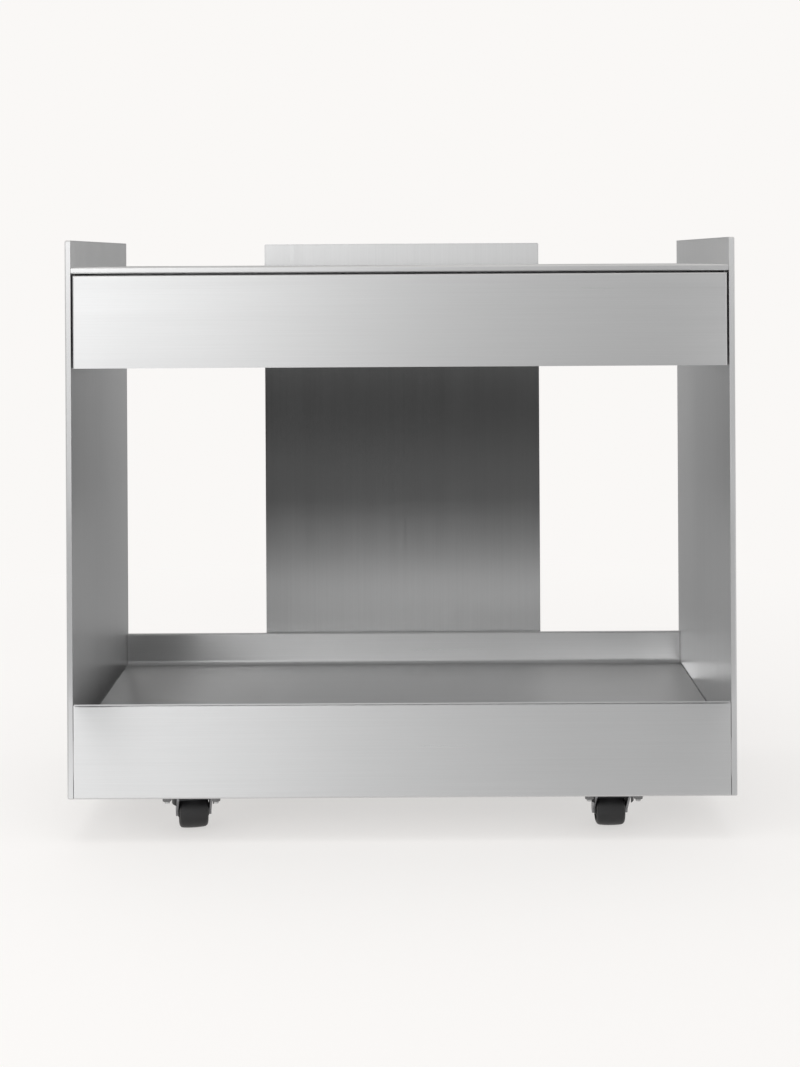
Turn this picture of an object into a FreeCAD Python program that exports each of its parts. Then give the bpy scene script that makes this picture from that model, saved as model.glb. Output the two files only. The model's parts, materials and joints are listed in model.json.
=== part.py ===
"""Serving trolley of folded stainless sheet with a drawer on ball runners and four swivel castors.

Frame: X to the right seen from the front, Y to the rear, Z up. The origin lies on the floor, under the middle
of the trolley's box. Sizes are in millimetres and angles in degrees.
"""

import FreeCAD, Part
import os
import re

import Sketcher
from FreeCAD import Placement, Rotation, Vector

SIZES = {
    "overall_width": 800,
    "overall_depth": 400,
    "overall_height": 720,
    # side and back panels
    "panel_thickness": 7,
    "panel_sheet": 1.2,
    "fold_radius": 2,
    "seam_clearance": 0.1,
    "back_width": 390,
    "back_drop": 2.3,
    "bar_width": 30,
    "side_bar_inset": 60,
    "back_bar_inset": 75,
    # top plate
    "lip_height": 32.5,
    "top_edge": 7.6,
    "top_sheet": 1.2,
    "top_return": 18,
    "top_flange": 24,
    "top_flange_setback": 22,
    "top_bolt_drop": 14,
    "top_end_clearance": 0.4,
    "stiffener_width": 40,
    "stiffener_depth": 14,
    "stiffener_inset": 55,
    "stiffener_end_gap": 1,
    # lower tray and what carries it
    "tray_sheet": 1.5,
    "tray_end_gap": 0.8,
    "apron_height": 112.5,
    "tray_depth": 44,
    "rim_width": 6,
    "rim_radius": 2.5,
    "floor_bend": 6,
    "back_bolt_rise": 28,
    "bracket_leg": 30,
    "bracket_sheet": 2,
    "bracket_end_gap": 25,
    "bracket_bolt_drop": 17,
    "channel_sheet": 2,
    "channel_end_gap": 2,
    # drawer
    "drawer_gap_top": 2,
    "drawer_gap_side": 2,
    "drawer_front_height": 111,
    "drawer_front_depth": 24,
    "drawer_sheet": 1.2,
    "drawer_top_lip": 38,
    "drawer_side_lip": 30,
    "drawer_hem": 14,
    "tub_rise": 6.6,
    "tub_drop": 28.9,
    "tub_rear_gap": 29,
    "front_screw_spacing": 170,
    "front_screw_edge": 5.5,
    "front_screw_inset": 11,
    "side_screw_rise": 19,
    "side_screw_drop": 26,
    # drawer runners
    "runner_setback": 2,
    "runner_rear_gap": 21,
    "runner_height": 45,
    "runner_sheet": 1.2,
    "runner_width": 12.7,
    "outer_rail_gap": 2.2,
    "middle_rail_gap": 0.5,
    "runner_screw_end": 34,
    "web_gap": 1,
    "ball_diameter": 3.5,
    "ball_clearance": 0.1,
    "cage_sheet": 0.5,
    "cage_length": 120,
    "cage_setback": 98,
    "cage_gap": 0.55,
    "ball_pitch": 20,
    "stop_length": 6,
    "stop_depth": 7,
    "stop_height": 20,
    "stop_gap": 1,
    # fasteners
    "bolt_diameter": 5,
    "bolt_head_diameter": 9.5,
    "bolt_head_height": 2.8,
    "bolt_end_gap": 0.5,
    "screw_diameter": 4,
    "screw_head_diameter": 7,
    "screw_head_height": 2.2,
    "screw_end": 2,
    "flat_head_diameter": 6.4,
    "flat_head_recess": 0.05,
    "socket_across": 3,
    "socket_depth": 1.4,
    "hole_clearance": 0.08,
    # castors
    "castor_spacing": 508,
    "castor_plate_width": 76,
    "castor_plate_depth": 66,
    "castor_plate_setback": 9,
    "castor_plate_sheet": 2.5,
    "castor_plate_radius": 6,
    "castor_bolt_edge": 8.5,
    "castor_bolt_diameter": 6,
    "castor_bolt_hex": 11.5,
    "castor_bolt_head_height": 4,
    "castor_nut_height": 5,
    "castor_bolt_end": 2.5,
    "kingpin_diameter": 8,
    "kingpin_head": 14,
    "kingpin_head_height": 1.6,
    "kingpin_foot": 12,
    "kingpin_foot_height": 2.4,
    "running_clearance": 0.05,
    "swivel_gap": 0.2,
    "bearing_gap": 5,
    "bearing_ball": 4.8,
    "bearing_ring_width": 6.4,
    "bearing_ring_gap": 1.3,
    "bearing_ring_sheet": 1,
    "crown_margin": 5.5,
    "crown_sheet": 2,
    "skirt_wall": 1.5,
    "skirt_top_gap": 1,
    "skirt_drop": 6,
    "fork_inside": 38,
    "fork_sheet": 2.5,
    "fork_skirt_gap": 0.4,
    "leg_front_margin": 2.2,
    "leg_rear_margin": 0.2,
    "leg_shoulder": 10,
    "axle_boss": 13,
    "castor_trail": 18,
    "wheel_diameter": 42,
    "wheel_top_gap": 1,
    "wheel_width": 35,
    "wheel_edge_radius": 5,
    "wheel_recess": 2,
    "wheel_rim": 6,
    "wheel_hub": 16,
    "wheel_hub_gap": 0.3,
    "axle_diameter": 6,
    "axle_chamfer": 0.5,
    # how the castors stand in the photo, turned about their kingpins
    "front_left_turn": 10,
    "front_right_turn": 1,
    "rear_left_turn": 6,
    "rear_right_turn": -7,
}
RUNNER_BALLS = 6
BEARING_BALLS = 12
FRONT_SCREWS = 4
# How far apart two lengths may be and still count as the same, and how near to 1 a unit direction's part
# along an axis must be for the direction to count as running along that axis
SAME = 1e-6
ALONG = 0.99

doc = FreeCAD.newDocument("serving_trolley")
sheet = doc.addObject("Spreadsheet::Sheet", "dims")
for row, (alias, size) in enumerate(SIZES.items(), start=1):
    sheet.set(f"A{row}", alias.replace("_", " "))
    sheet.set(f"B{row}", str(size))
    sheet.setAlias(f"B{row}", alias)
doc.recompute()

# Places worked out from the sheet, as expressions
FRONT = "(-overall_depth/2)"
REAR = "(overall_depth/2 - panel_thickness)"
INNER = "(overall_width/2 - panel_thickness)"
TOP = "(overall_height - lip_height)"
BASE = "(wheel_diameter + wheel_top_gap + crown_sheet + bearing_gap + castor_plate_sheet)"
RIM = f"({BASE} + apron_height)"
FLOOR = f"({RIM} - tray_depth)"
FLOOR_UNDER = f"({FLOOR} - tray_sheet)"
DRAWER_TOP = f"({TOP} - top_edge - drawer_gap_top)"
DRAWER_BOTTOM = f"({DRAWER_TOP} - drawer_front_height)"
DRAWER_BACK = f"({FRONT} + drawer_front_depth)"
DRAWER_HALF = f"({INNER} - drawer_gap_side)"
TUB_BOTTOM = f"({DRAWER_BOTTOM} + tub_rise)"
TUB_HALF = f"({INNER} - runner_width)"
TUB_HEIGHT = "(drawer_front_height - tub_rise - tub_drop)"
TUB_REAR = f"({REAR} - tub_rear_gap)"
RUNNER_LEVEL = f"({TUB_BOTTOM} + {TUB_HEIGHT}/2)"
RUNNER_FRONT = f"({DRAWER_BACK} + runner_setback)"
RUNNER_REAR = f"({REAR} - runner_rear_gap)"
MOVING_REAR = f"({RUNNER_REAR} - stop_length - stop_gap)"
CAGE_FRONT = f"({RUNNER_FRONT} + cage_setback)"
BALL_GAP = "(ball_diameter + 2*ball_clearance)"
OUTER_HALF = "(runner_height/2)"
MIDDLE_HALF = f"({OUTER_HALF} - runner_sheet - {BALL_GAP})"
INNER_HALF = f"({MIDDLE_HALF} - runner_sheet - {BALL_GAP})"
MIDDLE_START = "(runner_sheet + web_gap)"
INNER_START = f"({MIDDLE_START} + runner_sheet + web_gap)"
OUTER_END = "(runner_width - outer_rail_gap)"
MIDDLE_END = "(runner_width - middle_rail_gap)"
TOP_HALF = f"({INNER} - top_end_clearance)"
TRAY_HALF = f"({INNER} - tray_end_gap)"
TOP_BOLT_LEVEL = f"({TOP} - top_bolt_drop)"
TRAY_BOLT_LEVEL = f"({FLOOR_UNDER} - bracket_bolt_drop)"
BACK_BOLT_LEVEL = f"({BASE} + back_bolt_rise)"
SIDE_BAR = "(overall_depth/2 - side_bar_inset)"
BACK_BAR = "(back_width/2 - back_bar_inset)"
TRAY_FLANGE = "(castor_plate_setback + castor_plate_depth)"
CASTOR_INSET = "(castor_plate_depth/2 + castor_plate_setback)"
FRONT_CASTOR_Y = f"({FRONT} + {CASTOR_INSET})"
REAR_CASTOR_Y = f"({REAR} - {CASTOR_INSET})"
CASTOR_BOLT_X = "(castor_plate_width/2 - castor_bolt_edge)"
CASTOR_BOLT_Y = "(castor_plate_depth/2 - castor_bolt_edge)"
PLATE_UNDER = f"({BASE} - castor_plate_sheet)"
CROWN_TOP = f"({PLATE_UNDER} - bearing_gap)"
CROWN_UNDER = f"({CROWN_TOP} - crown_sheet)"
AXLE_LEVEL = "(wheel_diameter/2)"
FORK_HALF = "(fork_inside/2 + fork_sheet)"
CROWN_RADIUS = f"({FORK_HALF} + crown_margin)"
CROWN_CHORD = f"sqrt({CROWN_RADIUS}^2 - {FORK_HALF}^2)"
BEARING_RADIUS = f"({CROWN_CHORD} - bearing_ring_gap - bearing_ring_width/2)"

SIDES = {"left": -1, "right": 1}
CASTORS = {
    "front_left": (-1, FRONT_CASTOR_Y),
    "front_right": (1, FRONT_CASTOR_Y),
    "rear_left": (-1, REAR_CASTOR_Y),
    "rear_right": (1, REAR_CASTOR_Y),
}
nodes = []


def bound(text):
    """The expression with each sheet alias written as a reference to the sheet."""
    return re.sub(r"[a-z_]+", lambda word: f"dims.{word[0]}" if word[0] in SIZES else word[0], text)


def number(text):
    """The expression's value now."""
    return float(sheet.evalExpression(bound(text)))


def bind(item, **sizes):
    """Binds each named property to its expression."""
    for name, text in sizes.items():
        item.setExpression(name, bound(text))
    return item


def place(item, x="0", y="0", z="0", turn=None):
    """Binds the item's position, and its turn about Z where one is given."""
    for name, text in zip("xyz", (x, y, z)):
        item.setExpression(f"Placement.Base.{name}", bound(text))
    if turn is not None:
        item.Placement = Placement(item.Placement.Base, Rotation(Vector(0, 0, 1), 0))
        item.setExpression("Placement.Rotation.Angle", bound(turn))
    return item


def node(item, label):
    """Names a finished sub-part, which is then written to a file of that name."""
    item.Label = label
    nodes.append(item)
    return item


# Sketches and features of a body


def new_body(name):
    return doc.addObject("PartDesign::Body", name)


def sketch(body, role, level="0"):
    """A sketch on the body's own origin plane of that role, moved along its normal to level."""
    item = body.newObject("Sketcher::SketchObject", body.Name + "_sketch")
    plane = next(f for f in body.Origin.OriginFeatures if f.Role == role)
    item.AttachmentSupport = [(plane, "")]
    item.MapMode = "FlatFace"
    item.setExpression("AttachmentOffset.Base.z", bound(level))
    return item


def fix_point(item, geometry, point, across, up):
    """Holds one point of the sketch at (across, up) from the sketch's origin."""
    for kind, text in (("DistanceX", across), ("DistanceY", up)):
        rule = Sketcher.Constraint(kind, -1, 1, geometry, point, number(text))
        index = item.addConstraint(rule)
        item.setExpression(f"Constraints[{index}]", bound(text))


def outline(item, points):
    """Adds a closed run of straight lines through the points, each an (across, up) pair of expressions."""
    first = item.GeometryCount
    corners = [Vector(number(across), number(up), 0) for across, up in points]
    count = len(corners)
    for index, corner in enumerate(corners):
        item.addGeometry(Part.LineSegment(corner, corners[(index + 1) % count]), False)
    for index in range(count):
        following = first + (index + 1) % count
        item.addConstraint(Sketcher.Constraint("Coincident", first + index, 2, following, 1))
    for index, (across, up) in enumerate(points):
        fix_point(item, first + index, 1, across, up)
    return item


def rectangle(item, low, high):
    """Adds a rectangle between two opposite corners."""
    (left, bottom), (right, top) = low, high
    return outline(item, [(left, bottom), (right, bottom), (right, top), (left, top)])


def circles(item, centres, radius):
    """Adds a circle of the radius at each (across, up) centre."""
    for across, up in centres:
        middle = Vector(number(across), number(up), 0)
        ring = Part.Circle(middle, Vector(0, 0, 1), number(radius))
        index = item.addGeometry(ring, False)
        fix_point(item, index, 3, across, up)
        rule = item.addConstraint(Sketcher.Constraint("Radius", index, number(radius)))
        item.setExpression(f"Constraints[{rule}]", bound(radius))
    return item


def pad(body, profile, length, both_ways=False):
    """Adds the profile's sweep along its normal, or evenly to both sides of the sketch."""
    feature = body.newObject("PartDesign::Pad", body.Name + "_pad")
    feature.Profile = profile
    feature.SideType = "Symmetric" if both_ways else "One side"
    bind(feature, Length=length)
    doc.recompute()
    return feature


def pocket(body, profile, length=None, towards_normal=False, both_ways=False):
    """Cuts the profile's sweep, against its normal unless told otherwise; with no length, right through."""
    before = body.Shape.Volume
    feature = body.newObject("PartDesign::Pocket", body.Name + "_pocket")
    feature.Profile = profile
    feature.SideType = "Symmetric" if both_ways else "One side"
    feature.Reversed = towards_normal
    if length is None:
        feature.Type = "ThroughAll"
    else:
        bind(feature, Length=length)
    doc.recompute()
    if not body.Shape.Volume < before:
        raise RuntimeError(f"{feature.Name} cuts nothing")
    return feature


def through(sheet_size):
    """A depth that surely cuts through one thickness of sheet."""
    return f"2*{sheet_size}"


def turned(body, profile, axis):
    """Revolves the profile a full turn about its sketch axis, H_Axis or V_Axis."""
    feature = body.newObject("PartDesign::Revolution", body.Name + "_turned")
    feature.Profile = profile
    feature.ReferenceAxis = (profile, [axis])
    feature.Angle = 360
    doc.recompute()
    return feature


def fillet(body, radius, wanted):
    """Rounds those edges of the body for which wanted(middle, direction) holds."""
    base = body.Tip
    picked = []
    for index, edge in enumerate(base.Shape.Edges, start=1):
        ends = edge.FirstParameter, edge.LastParameter
        middle = edge.valueAt(sum(ends) / 2)
        if wanted(middle, edge.tangentAt(ends[0])):
            picked.append(f"Edge{index}")
    feature = body.newObject("PartDesign::Fillet", body.Name + "_fillet")
    feature.Base = (base, picked)
    bind(feature, Radius=radius)
    doc.recompute()
    return feature


def near(value, text):
    """True where the value is the expression's, within a rounding error."""
    return abs(value - number(text)) < SAME


def bend(body, radius, lines):
    """Rounds the edges that run along X through each (y, z) of lines."""

    def wanted(middle, direction):
        along = abs(direction.x) > ALONG
        return along and any(near(middle.y, y) and near(middle.z, z) for y, z in lines)

    return fillet(body, radius, wanted)


# Primitives and groups


def box(name, low, size):
    """A box from its low corner and its size, both as (x, y, z) expressions."""
    item = doc.addObject("Part::Box", name)
    bind(item, Length=size[0], Width=size[1], Height=size[2])
    return place(item, *low)


def rod(name, radius, length, start, towards=Vector(0, 0, 1), tip_radius=None):
    """A cylinder, or a cone with a tip radius, from its start point along a direction."""
    kind = "Part::Cylinder" if tip_radius is None else "Part::Cone"
    item = doc.addObject(kind, name)
    item.Placement = Placement(Vector(), Rotation(Vector(0, 0, 1), towards))
    if tip_radius is None:
        bind(item, Radius=radius, Height=length)
    else:
        bind(item, Radius1=radius, Radius2=tip_radius, Height=length)
    return place(item, *start)


def hexagon(name, across_corners, length, start, towards=Vector(0, 0, 1)):
    """A hexagonal prism from its start point along a direction."""
    item = doc.addObject("Part::Prism", name)
    item.Polygon = 6
    item.Placement = Placement(Vector(), Rotation(Vector(0, 0, 1), towards))
    bind(item, Circumradius=f"{across_corners}/2", Height=length)
    return place(item, *start)


def ball(name, radius, centre):
    item = doc.addObject("Part::Sphere", name)
    bind(item, Radius=radius)
    return place(item, *centre)


def joined(name, pieces):
    item = doc.addObject("Part::MultiFuse", name)
    item.Shapes = pieces
    return item


def grouped(name, pieces):
    item = doc.addObject("Part::Compound", name)
    item.Links = pieces
    return item


def cut(name, base, tools):
    """The base without the tools."""
    item = doc.addObject("Part::Cut", name)
    item.Base = base
    item.Tool = tools[0] if len(tools) == 1 else grouped(name + "_tools", tools)
    return item


def offset(start, towards, distance):
    """The start point moved along a direction by an expression's distance."""
    parts = zip(start, (towards.x, towards.y, towards.z))
    return [f"({text}) + ({round(part)})*({distance})" for text, part in parts]


def socket_screw(name, size, seat, towards, length):
    """A pan-head screw with a hexagon socket, from its head's seat, with its length under the head."""
    back = towards.negative()
    head_start = offset(seat, back, f"{size}_head_height")
    head = rod(name + "_head", f"{size}_head_diameter/2", f"{size}_head_height", head_start, towards)
    shank = rod(name + "_shank", f"{size}_diameter/2", length, seat, towards)
    socket = hexagon(name + "_socket", "socket_across", "socket_depth", head_start, towards)
    return cut(name, joined(name + "_blank", [head, shank]), [socket])


# Side and back panels


def bar_places(panel):
    """Where a panel's backing bars stand, across the panel from its middle."""
    if panel == "back":
        return [f"-{BACK_BAR}", BACK_BAR]
    return [f"-{SIDE_BAR}", "0", SIDE_BAR]


def bolt_levels(panel):
    """How high above the floor a panel's bolts and runner screws go in, with each hole's diameter."""
    if panel == "back":
        return [(BACK_BOLT_LEVEL, "bolt_diameter"), (TOP_BOLT_LEVEL, "bolt_diameter")]
    side = [(TRAY_BOLT_LEVEL, "bolt_diameter"), (TOP_BOLT_LEVEL, "bolt_diameter")]
    return side + [(RUNNER_LEVEL, "screw_diameter")]


def seat_panel(item, panel):
    """Stands a piece in the trolley that was made with the panel's outer face at X = 0, looking along -X."""
    places = {
        "left": ("-overall_width/2", "0", BASE, "0"),
        "right": ("overall_width/2", "0", BASE, "180"),
        "back": ("0", "overall_depth/2", BASE, "-90"),
    }
    x, y, z, turn = places[panel]
    return place(item, x, y, z, turn)


def make_panel(panel, width, top="overall_height"):
    """A hollow panel: folded shell, inner skin let in flush between its returns, tapped bars between them."""
    half = f"({width}/2)"
    height = f"({top} - {BASE})"
    cavity = "(panel_thickness - panel_sheet)"

    shell = new_body(panel + "_panel_shell")
    pad(shell, rectangle(sketch(shell, "YZ_Plane"), (f"-{half}", "0"), (half, height)), "panel_thickness")
    fillet(shell, "fold_radius", lambda middle, way: near(middle.x, "0") or abs(way.x) > ALONG)
    inside = rectangle(
        sketch(shell, "YZ_Plane", "panel_thickness"),
        (f"-{half} + panel_sheet", "panel_sheet"),
        (f"{half} - panel_sheet", f"{height} - panel_sheet"),
    )
    pocket(shell, inside, cavity)
    node(seat_panel(shell, panel), panel + "_panel_shell")

    edge = "(panel_sheet + seam_clearance)"
    skin = new_body(panel + "_panel_inner_skin")
    face = rectangle(
        sketch(skin, "YZ_Plane", cavity),
        (f"-{half} + {edge}", edge),
        (f"{half} - {edge}", f"{height} - {edge}"),
    )
    pad(skin, face, "panel_sheet")
    for level, diameter in bolt_levels(panel):
        sites = [(across, f"{level} - {BASE}") for across in bar_places(panel)]
        holes = circles(sketch(skin, "YZ_Plane"), sites, f"{diameter}/2 + hole_clearance")
        pocket(skin, holes, towards_normal=True)
    node(seat_panel(skin, panel), panel + "_panel_inner_skin")

    bars = []
    for index, across in enumerate(bar_places(panel)):
        name = f"{panel}_bar_{index}"
        blank = box(
            name + "_blank",
            ("panel_sheet", f"{across} - bar_width/2", edge),
            (f"{cavity} - panel_sheet", "bar_width", f"{height} - 2*{edge}"),
        )
        holes = [
            rod(
                f"{name}_hole",
                f"{diameter}/2 + hole_clearance",
                "panel_thickness",
                ("0", across, f"{level} - {BASE}"),
                Vector(1, 0, 0),
            )
            for level, diameter in bolt_levels(panel)
        ]
        bars.append(cut(name, blank, holes))
    group = grouped(panel + "_panel_backing_bars", bars)
    node(seat_panel(group, panel), panel + "_panel_backing_bars")


# Top


def make_top_plate():
    """One folded sheet: a thin front edge with a return, a flange at the rear and one at each end."""
    under = f"({TOP} - top_sheet)"
    foot = f"({TOP} - top_edge)"
    low = f"({TOP} - top_flange)"
    body = new_body("top_plate")
    section = [
        (FRONT, TOP),
        (REAR, TOP),
        (REAR, low),
        (f"{REAR} - top_sheet", low),
        (f"{REAR} - top_sheet", under),
        (f"{FRONT} + top_sheet", under),
        (f"{FRONT} + top_sheet", f"{foot} + top_sheet"),
        (f"{FRONT} + top_return", f"{foot} + top_sheet"),
        (f"{FRONT} + top_return", foot),
        (FRONT, foot),
    ]
    pad(body, outline(sketch(body, "YZ_Plane"), section), f"2*{TOP_HALF}", both_ways=True)
    for level in (f"-{TOP_HALF}", f"{TOP_HALF} - top_sheet"):
        flange = rectangle(
            sketch(body, "YZ_Plane", level),
            (f"{FRONT} + top_flange_setback", low),
            (f"{REAR} - top_sheet - top_flange_setback", under),
        )
        pad(body, flange, "top_sheet")
    bend(body, "fold_radius", [(FRONT, TOP), (FRONT, foot), (REAR, TOP)])
    hole = "bolt_diameter/2 + hole_clearance"
    side_sites = [(across, TOP_BOLT_LEVEL) for across in bar_places("left")]
    pocket(body, circles(sketch(body, "YZ_Plane"), side_sites, hole), both_ways=True)
    back_sites = [(across, TOP_BOLT_LEVEL) for across in bar_places("back")]
    pocket(body, circles(sketch(body, "XZ_Plane"), back_sites, hole))
    node(body, "top_plate")


def make_top_stiffeners():
    """Two channels along the trolley, open upwards against the underside of the top."""
    half = f"({TOP_HALF} - top_sheet - stiffener_end_gap)"
    bottom = f"({TOP} - top_sheet - stiffener_depth)"
    channels = []
    spacing = f"({SIDE_BAR} - stiffener_inset)"
    for index, middle in enumerate((f"-{spacing}", spacing)):
        name = f"top_stiffener_{index}"
        outside = box(
            name + "_outside",
            (f"-{half}", f"{middle} - stiffener_width/2", bottom),
            (f"2*{half}", "stiffener_width", "stiffener_depth"),
        )
        inside = box(
            name + "_inside",
            (f"-{half}", f"{middle} - stiffener_width/2 + top_sheet", f"{bottom} + top_sheet"),
            (f"2*{half}", "stiffener_width - 2*top_sheet", "stiffener_depth"),
        )
        channels.append(cut(name, outside, [inside]))
    node(grouped("top_stiffeners", channels), "top_stiffeners")


# Lower tray and what carries it


def castor_bolt_sites():
    """Every castor bolt's (x, y)."""
    sites = []
    for side, y in CASTORS.values():
        for step_x in (f"-{CASTOR_BOLT_X}", CASTOR_BOLT_X):
            for step_y in (f"-{CASTOR_BOLT_Y}", CASTOR_BOLT_Y):
                sites.append((f"{side}*castor_spacing/2 + {step_x}", f"{y} + {step_y}"))
    return sites


def make_lower_tray():
    """One folded sheet with the same section all along: floor, hollow walls, aprons and lower flanges."""
    body = new_body("lower_tray")
    low = BASE
    above = f"({BASE} + tray_sheet)"
    rim_under = f"({RIM} - tray_sheet)"
    front_wall = f"({FRONT} + rim_width)"
    rear_wall = f"({REAR} - rim_width)"
    section = [
        (f"{FRONT} + {TRAY_FLANGE}", low),
        (FRONT, low),
        (FRONT, RIM),
        (front_wall, RIM),
        (front_wall, FLOOR),
        (rear_wall, FLOOR),
        (rear_wall, RIM),
        (REAR, RIM),
        (REAR, low),
        (f"{REAR} - {TRAY_FLANGE}", low),
        (f"{REAR} - {TRAY_FLANGE}", above),
        (f"{REAR} - tray_sheet", above),
        (f"{REAR} - tray_sheet", rim_under),
        (f"{rear_wall} + tray_sheet", rim_under),
        (f"{rear_wall} + tray_sheet", FLOOR_UNDER),
        (f"{front_wall} - tray_sheet", FLOOR_UNDER),
        (f"{front_wall} - tray_sheet", rim_under),
        (f"{FRONT} + tray_sheet", rim_under),
        (f"{FRONT} + tray_sheet", above),
        (f"{FRONT} + {TRAY_FLANGE}", above),
    ]
    pad(body, outline(sketch(body, "YZ_Plane"), section), f"2*{TRAY_HALF}", both_ways=True)
    bend(body, "floor_bend", [(front_wall, FLOOR), (rear_wall, FLOOR)])
    bend(
        body,
        "floor_bend + tray_sheet",
        [(f"{front_wall} - tray_sheet", FLOOR_UNDER), (f"{rear_wall} + tray_sheet", FLOOR_UNDER)],
    )
    rims = [(FRONT, RIM), (front_wall, RIM), (rear_wall, RIM), (REAR, RIM)]
    bend(body, "rim_radius", rims + [(FRONT, low), (REAR, low)])
    bolts = circles(
        sketch(body, "XY_Plane", above),
        castor_bolt_sites(),
        "castor_bolt_diameter/2 + hole_clearance",
    )
    pocket(body, bolts, through("tray_sheet"))
    back_sites = [(across, BACK_BOLT_LEVEL) for across in bar_places("back")]
    back_bolts = circles(
        sketch(body, "XZ_Plane", f"-{REAR}"), back_sites, "bolt_diameter/2 + hole_clearance"
    )
    pocket(body, back_bolts, through("tray_sheet"), towards_normal=True)
    node(body, "lower_tray")


def make_tray_bracket(side_name):
    """An angle with one leg against the side panel and the other under the tray's floor."""
    body = new_body(side_name + "_tray_bracket")
    side = SIDES[side_name]
    wall = f"{side}*{INNER}"
    section = [
        (wall, FLOOR_UNDER),
        (f"{side}*({INNER} - bracket_leg)", FLOOR_UNDER),
        (f"{side}*({INNER} - bracket_leg)", f"{FLOOR_UNDER} - bracket_sheet"),
        (f"{side}*({INNER} - bracket_sheet)", f"{FLOOR_UNDER} - bracket_sheet"),
        (f"{side}*({INNER} - bracket_sheet)", f"{FLOOR_UNDER} - bracket_leg"),
        (wall, f"{FLOOR_UNDER} - bracket_leg"),
    ]
    length = "overall_depth - 2*bracket_end_gap"
    pad(body, outline(sketch(body, "XZ_Plane"), section), length, both_ways=True)
    sites = [(across, TRAY_BOLT_LEVEL) for across in bar_places(side_name)]
    pocket(
        body,
        circles(sketch(body, "YZ_Plane"), sites, "bolt_diameter/2 + hole_clearance"),
        both_ways=True,
    )
    node(body, side_name + "_tray_bracket")


def make_castor_channel(side_name):
    """A channel from front to rear over two castors, between the tray's lower flanges and its floor."""
    body = new_body(side_name + "_castor_channel")
    middle = f"({SIDES[side_name]}*castor_spacing/2)"
    bottom = f"({BASE} + tray_sheet)"
    half = "(castor_plate_width/2)"
    wall = f"({half} - channel_sheet)"
    section = [
        (f"{middle} - {half}", bottom),
        (f"{middle} + {half}", bottom),
        (f"{middle} + {half}", FLOOR_UNDER),
        (f"{middle} + {wall}", FLOOR_UNDER),
        (f"{middle} + {wall}", f"{bottom} + channel_sheet"),
        (f"{middle} - {wall}", f"{bottom} + channel_sheet"),
        (f"{middle} - {wall}", FLOOR_UNDER),
        (f"{middle} - {half}", FLOOR_UNDER),
    ]
    margin = "(tray_sheet + channel_end_gap)"
    rear = f"({REAR} - {margin})"
    profile = outline(sketch(body, "XZ_Plane", f"-{rear}"), section)
    pad(body, profile, f"{rear} - {FRONT} - {margin}")
    sites = castor_bolt_sites()
    own_side = [site for site in sites if number(site[0]) * SIDES[side_name] > 0]
    holes = circles(
        sketch(body, "XY_Plane", f"{bottom} + channel_sheet"),
        own_side,
        "castor_bolt_diameter/2 + hole_clearance",
    )
    pocket(body, holes, through("channel_sheet"))
    node(body, side_name + "_castor_channel")


def make_panel_bolts():
    """The bolts that hold the top, the tray and the back panel to the panels' backing bars."""
    grip = "(panel_thickness - panel_sheet - bolt_end_gap)"
    bolts = []
    for side_name, side in SIDES.items():
        towards = Vector(side, 0, 0)
        for across in bar_places(side_name):
            seats = [
                (TRAY_BOLT_LEVEL, "0", "bracket_sheet"),
                (TOP_BOLT_LEVEL, "top_end_clearance", "top_sheet"),
            ]
            for level, gap, flange in seats:
                seat = (f"{side}*({INNER} - {gap} - {flange})", across, level)
                length = f"{grip} + {gap} + {flange}"
                bolts.append(socket_screw("panel_bolt", "bolt", seat, towards, length))
    for across in bar_places("back"):
        for level, flange in ((BACK_BOLT_LEVEL, "tray_sheet"), (TOP_BOLT_LEVEL, "top_sheet")):
            seat = (across, f"{REAR} - {flange}", level)
            length = f"{grip} + {flange}"
            bolts.append(socket_screw("panel_bolt", "bolt", seat, Vector(0, 1, 0), length))
    node(grouped("panel_bolts", bolts), "panel_bolts")


# Drawer


def front_screw_sites():
    """The (x, z) of the screws that hold the drawer front: along its top lip and down its side lips."""
    tub_top = f"({TUB_BOTTOM} + {TUB_HEIGHT})"
    steps = [index - (FRONT_SCREWS - 1) / 2 for index in range(FRONT_SCREWS)]
    sites = [(f"{step}*front_screw_spacing", f"{tub_top} - front_screw_edge") for step in steps]
    for side in SIDES.values():
        across = f"{side}*({TUB_HALF} - front_screw_inset)"
        sites.append((across, f"{TUB_BOTTOM} + side_screw_rise"))
        sites.append((across, f"{tub_top} - side_screw_drop"))
    return sites


def runner_screw_places():
    """How far along Y the inner rails are screwed to the tub."""
    return [
        f"{RUNNER_FRONT} + runner_screw_end",
        f"({RUNNER_FRONT} + {MOVING_REAR})/2",
        f"{MOVING_REAR} - runner_screw_end",
    ]


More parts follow.
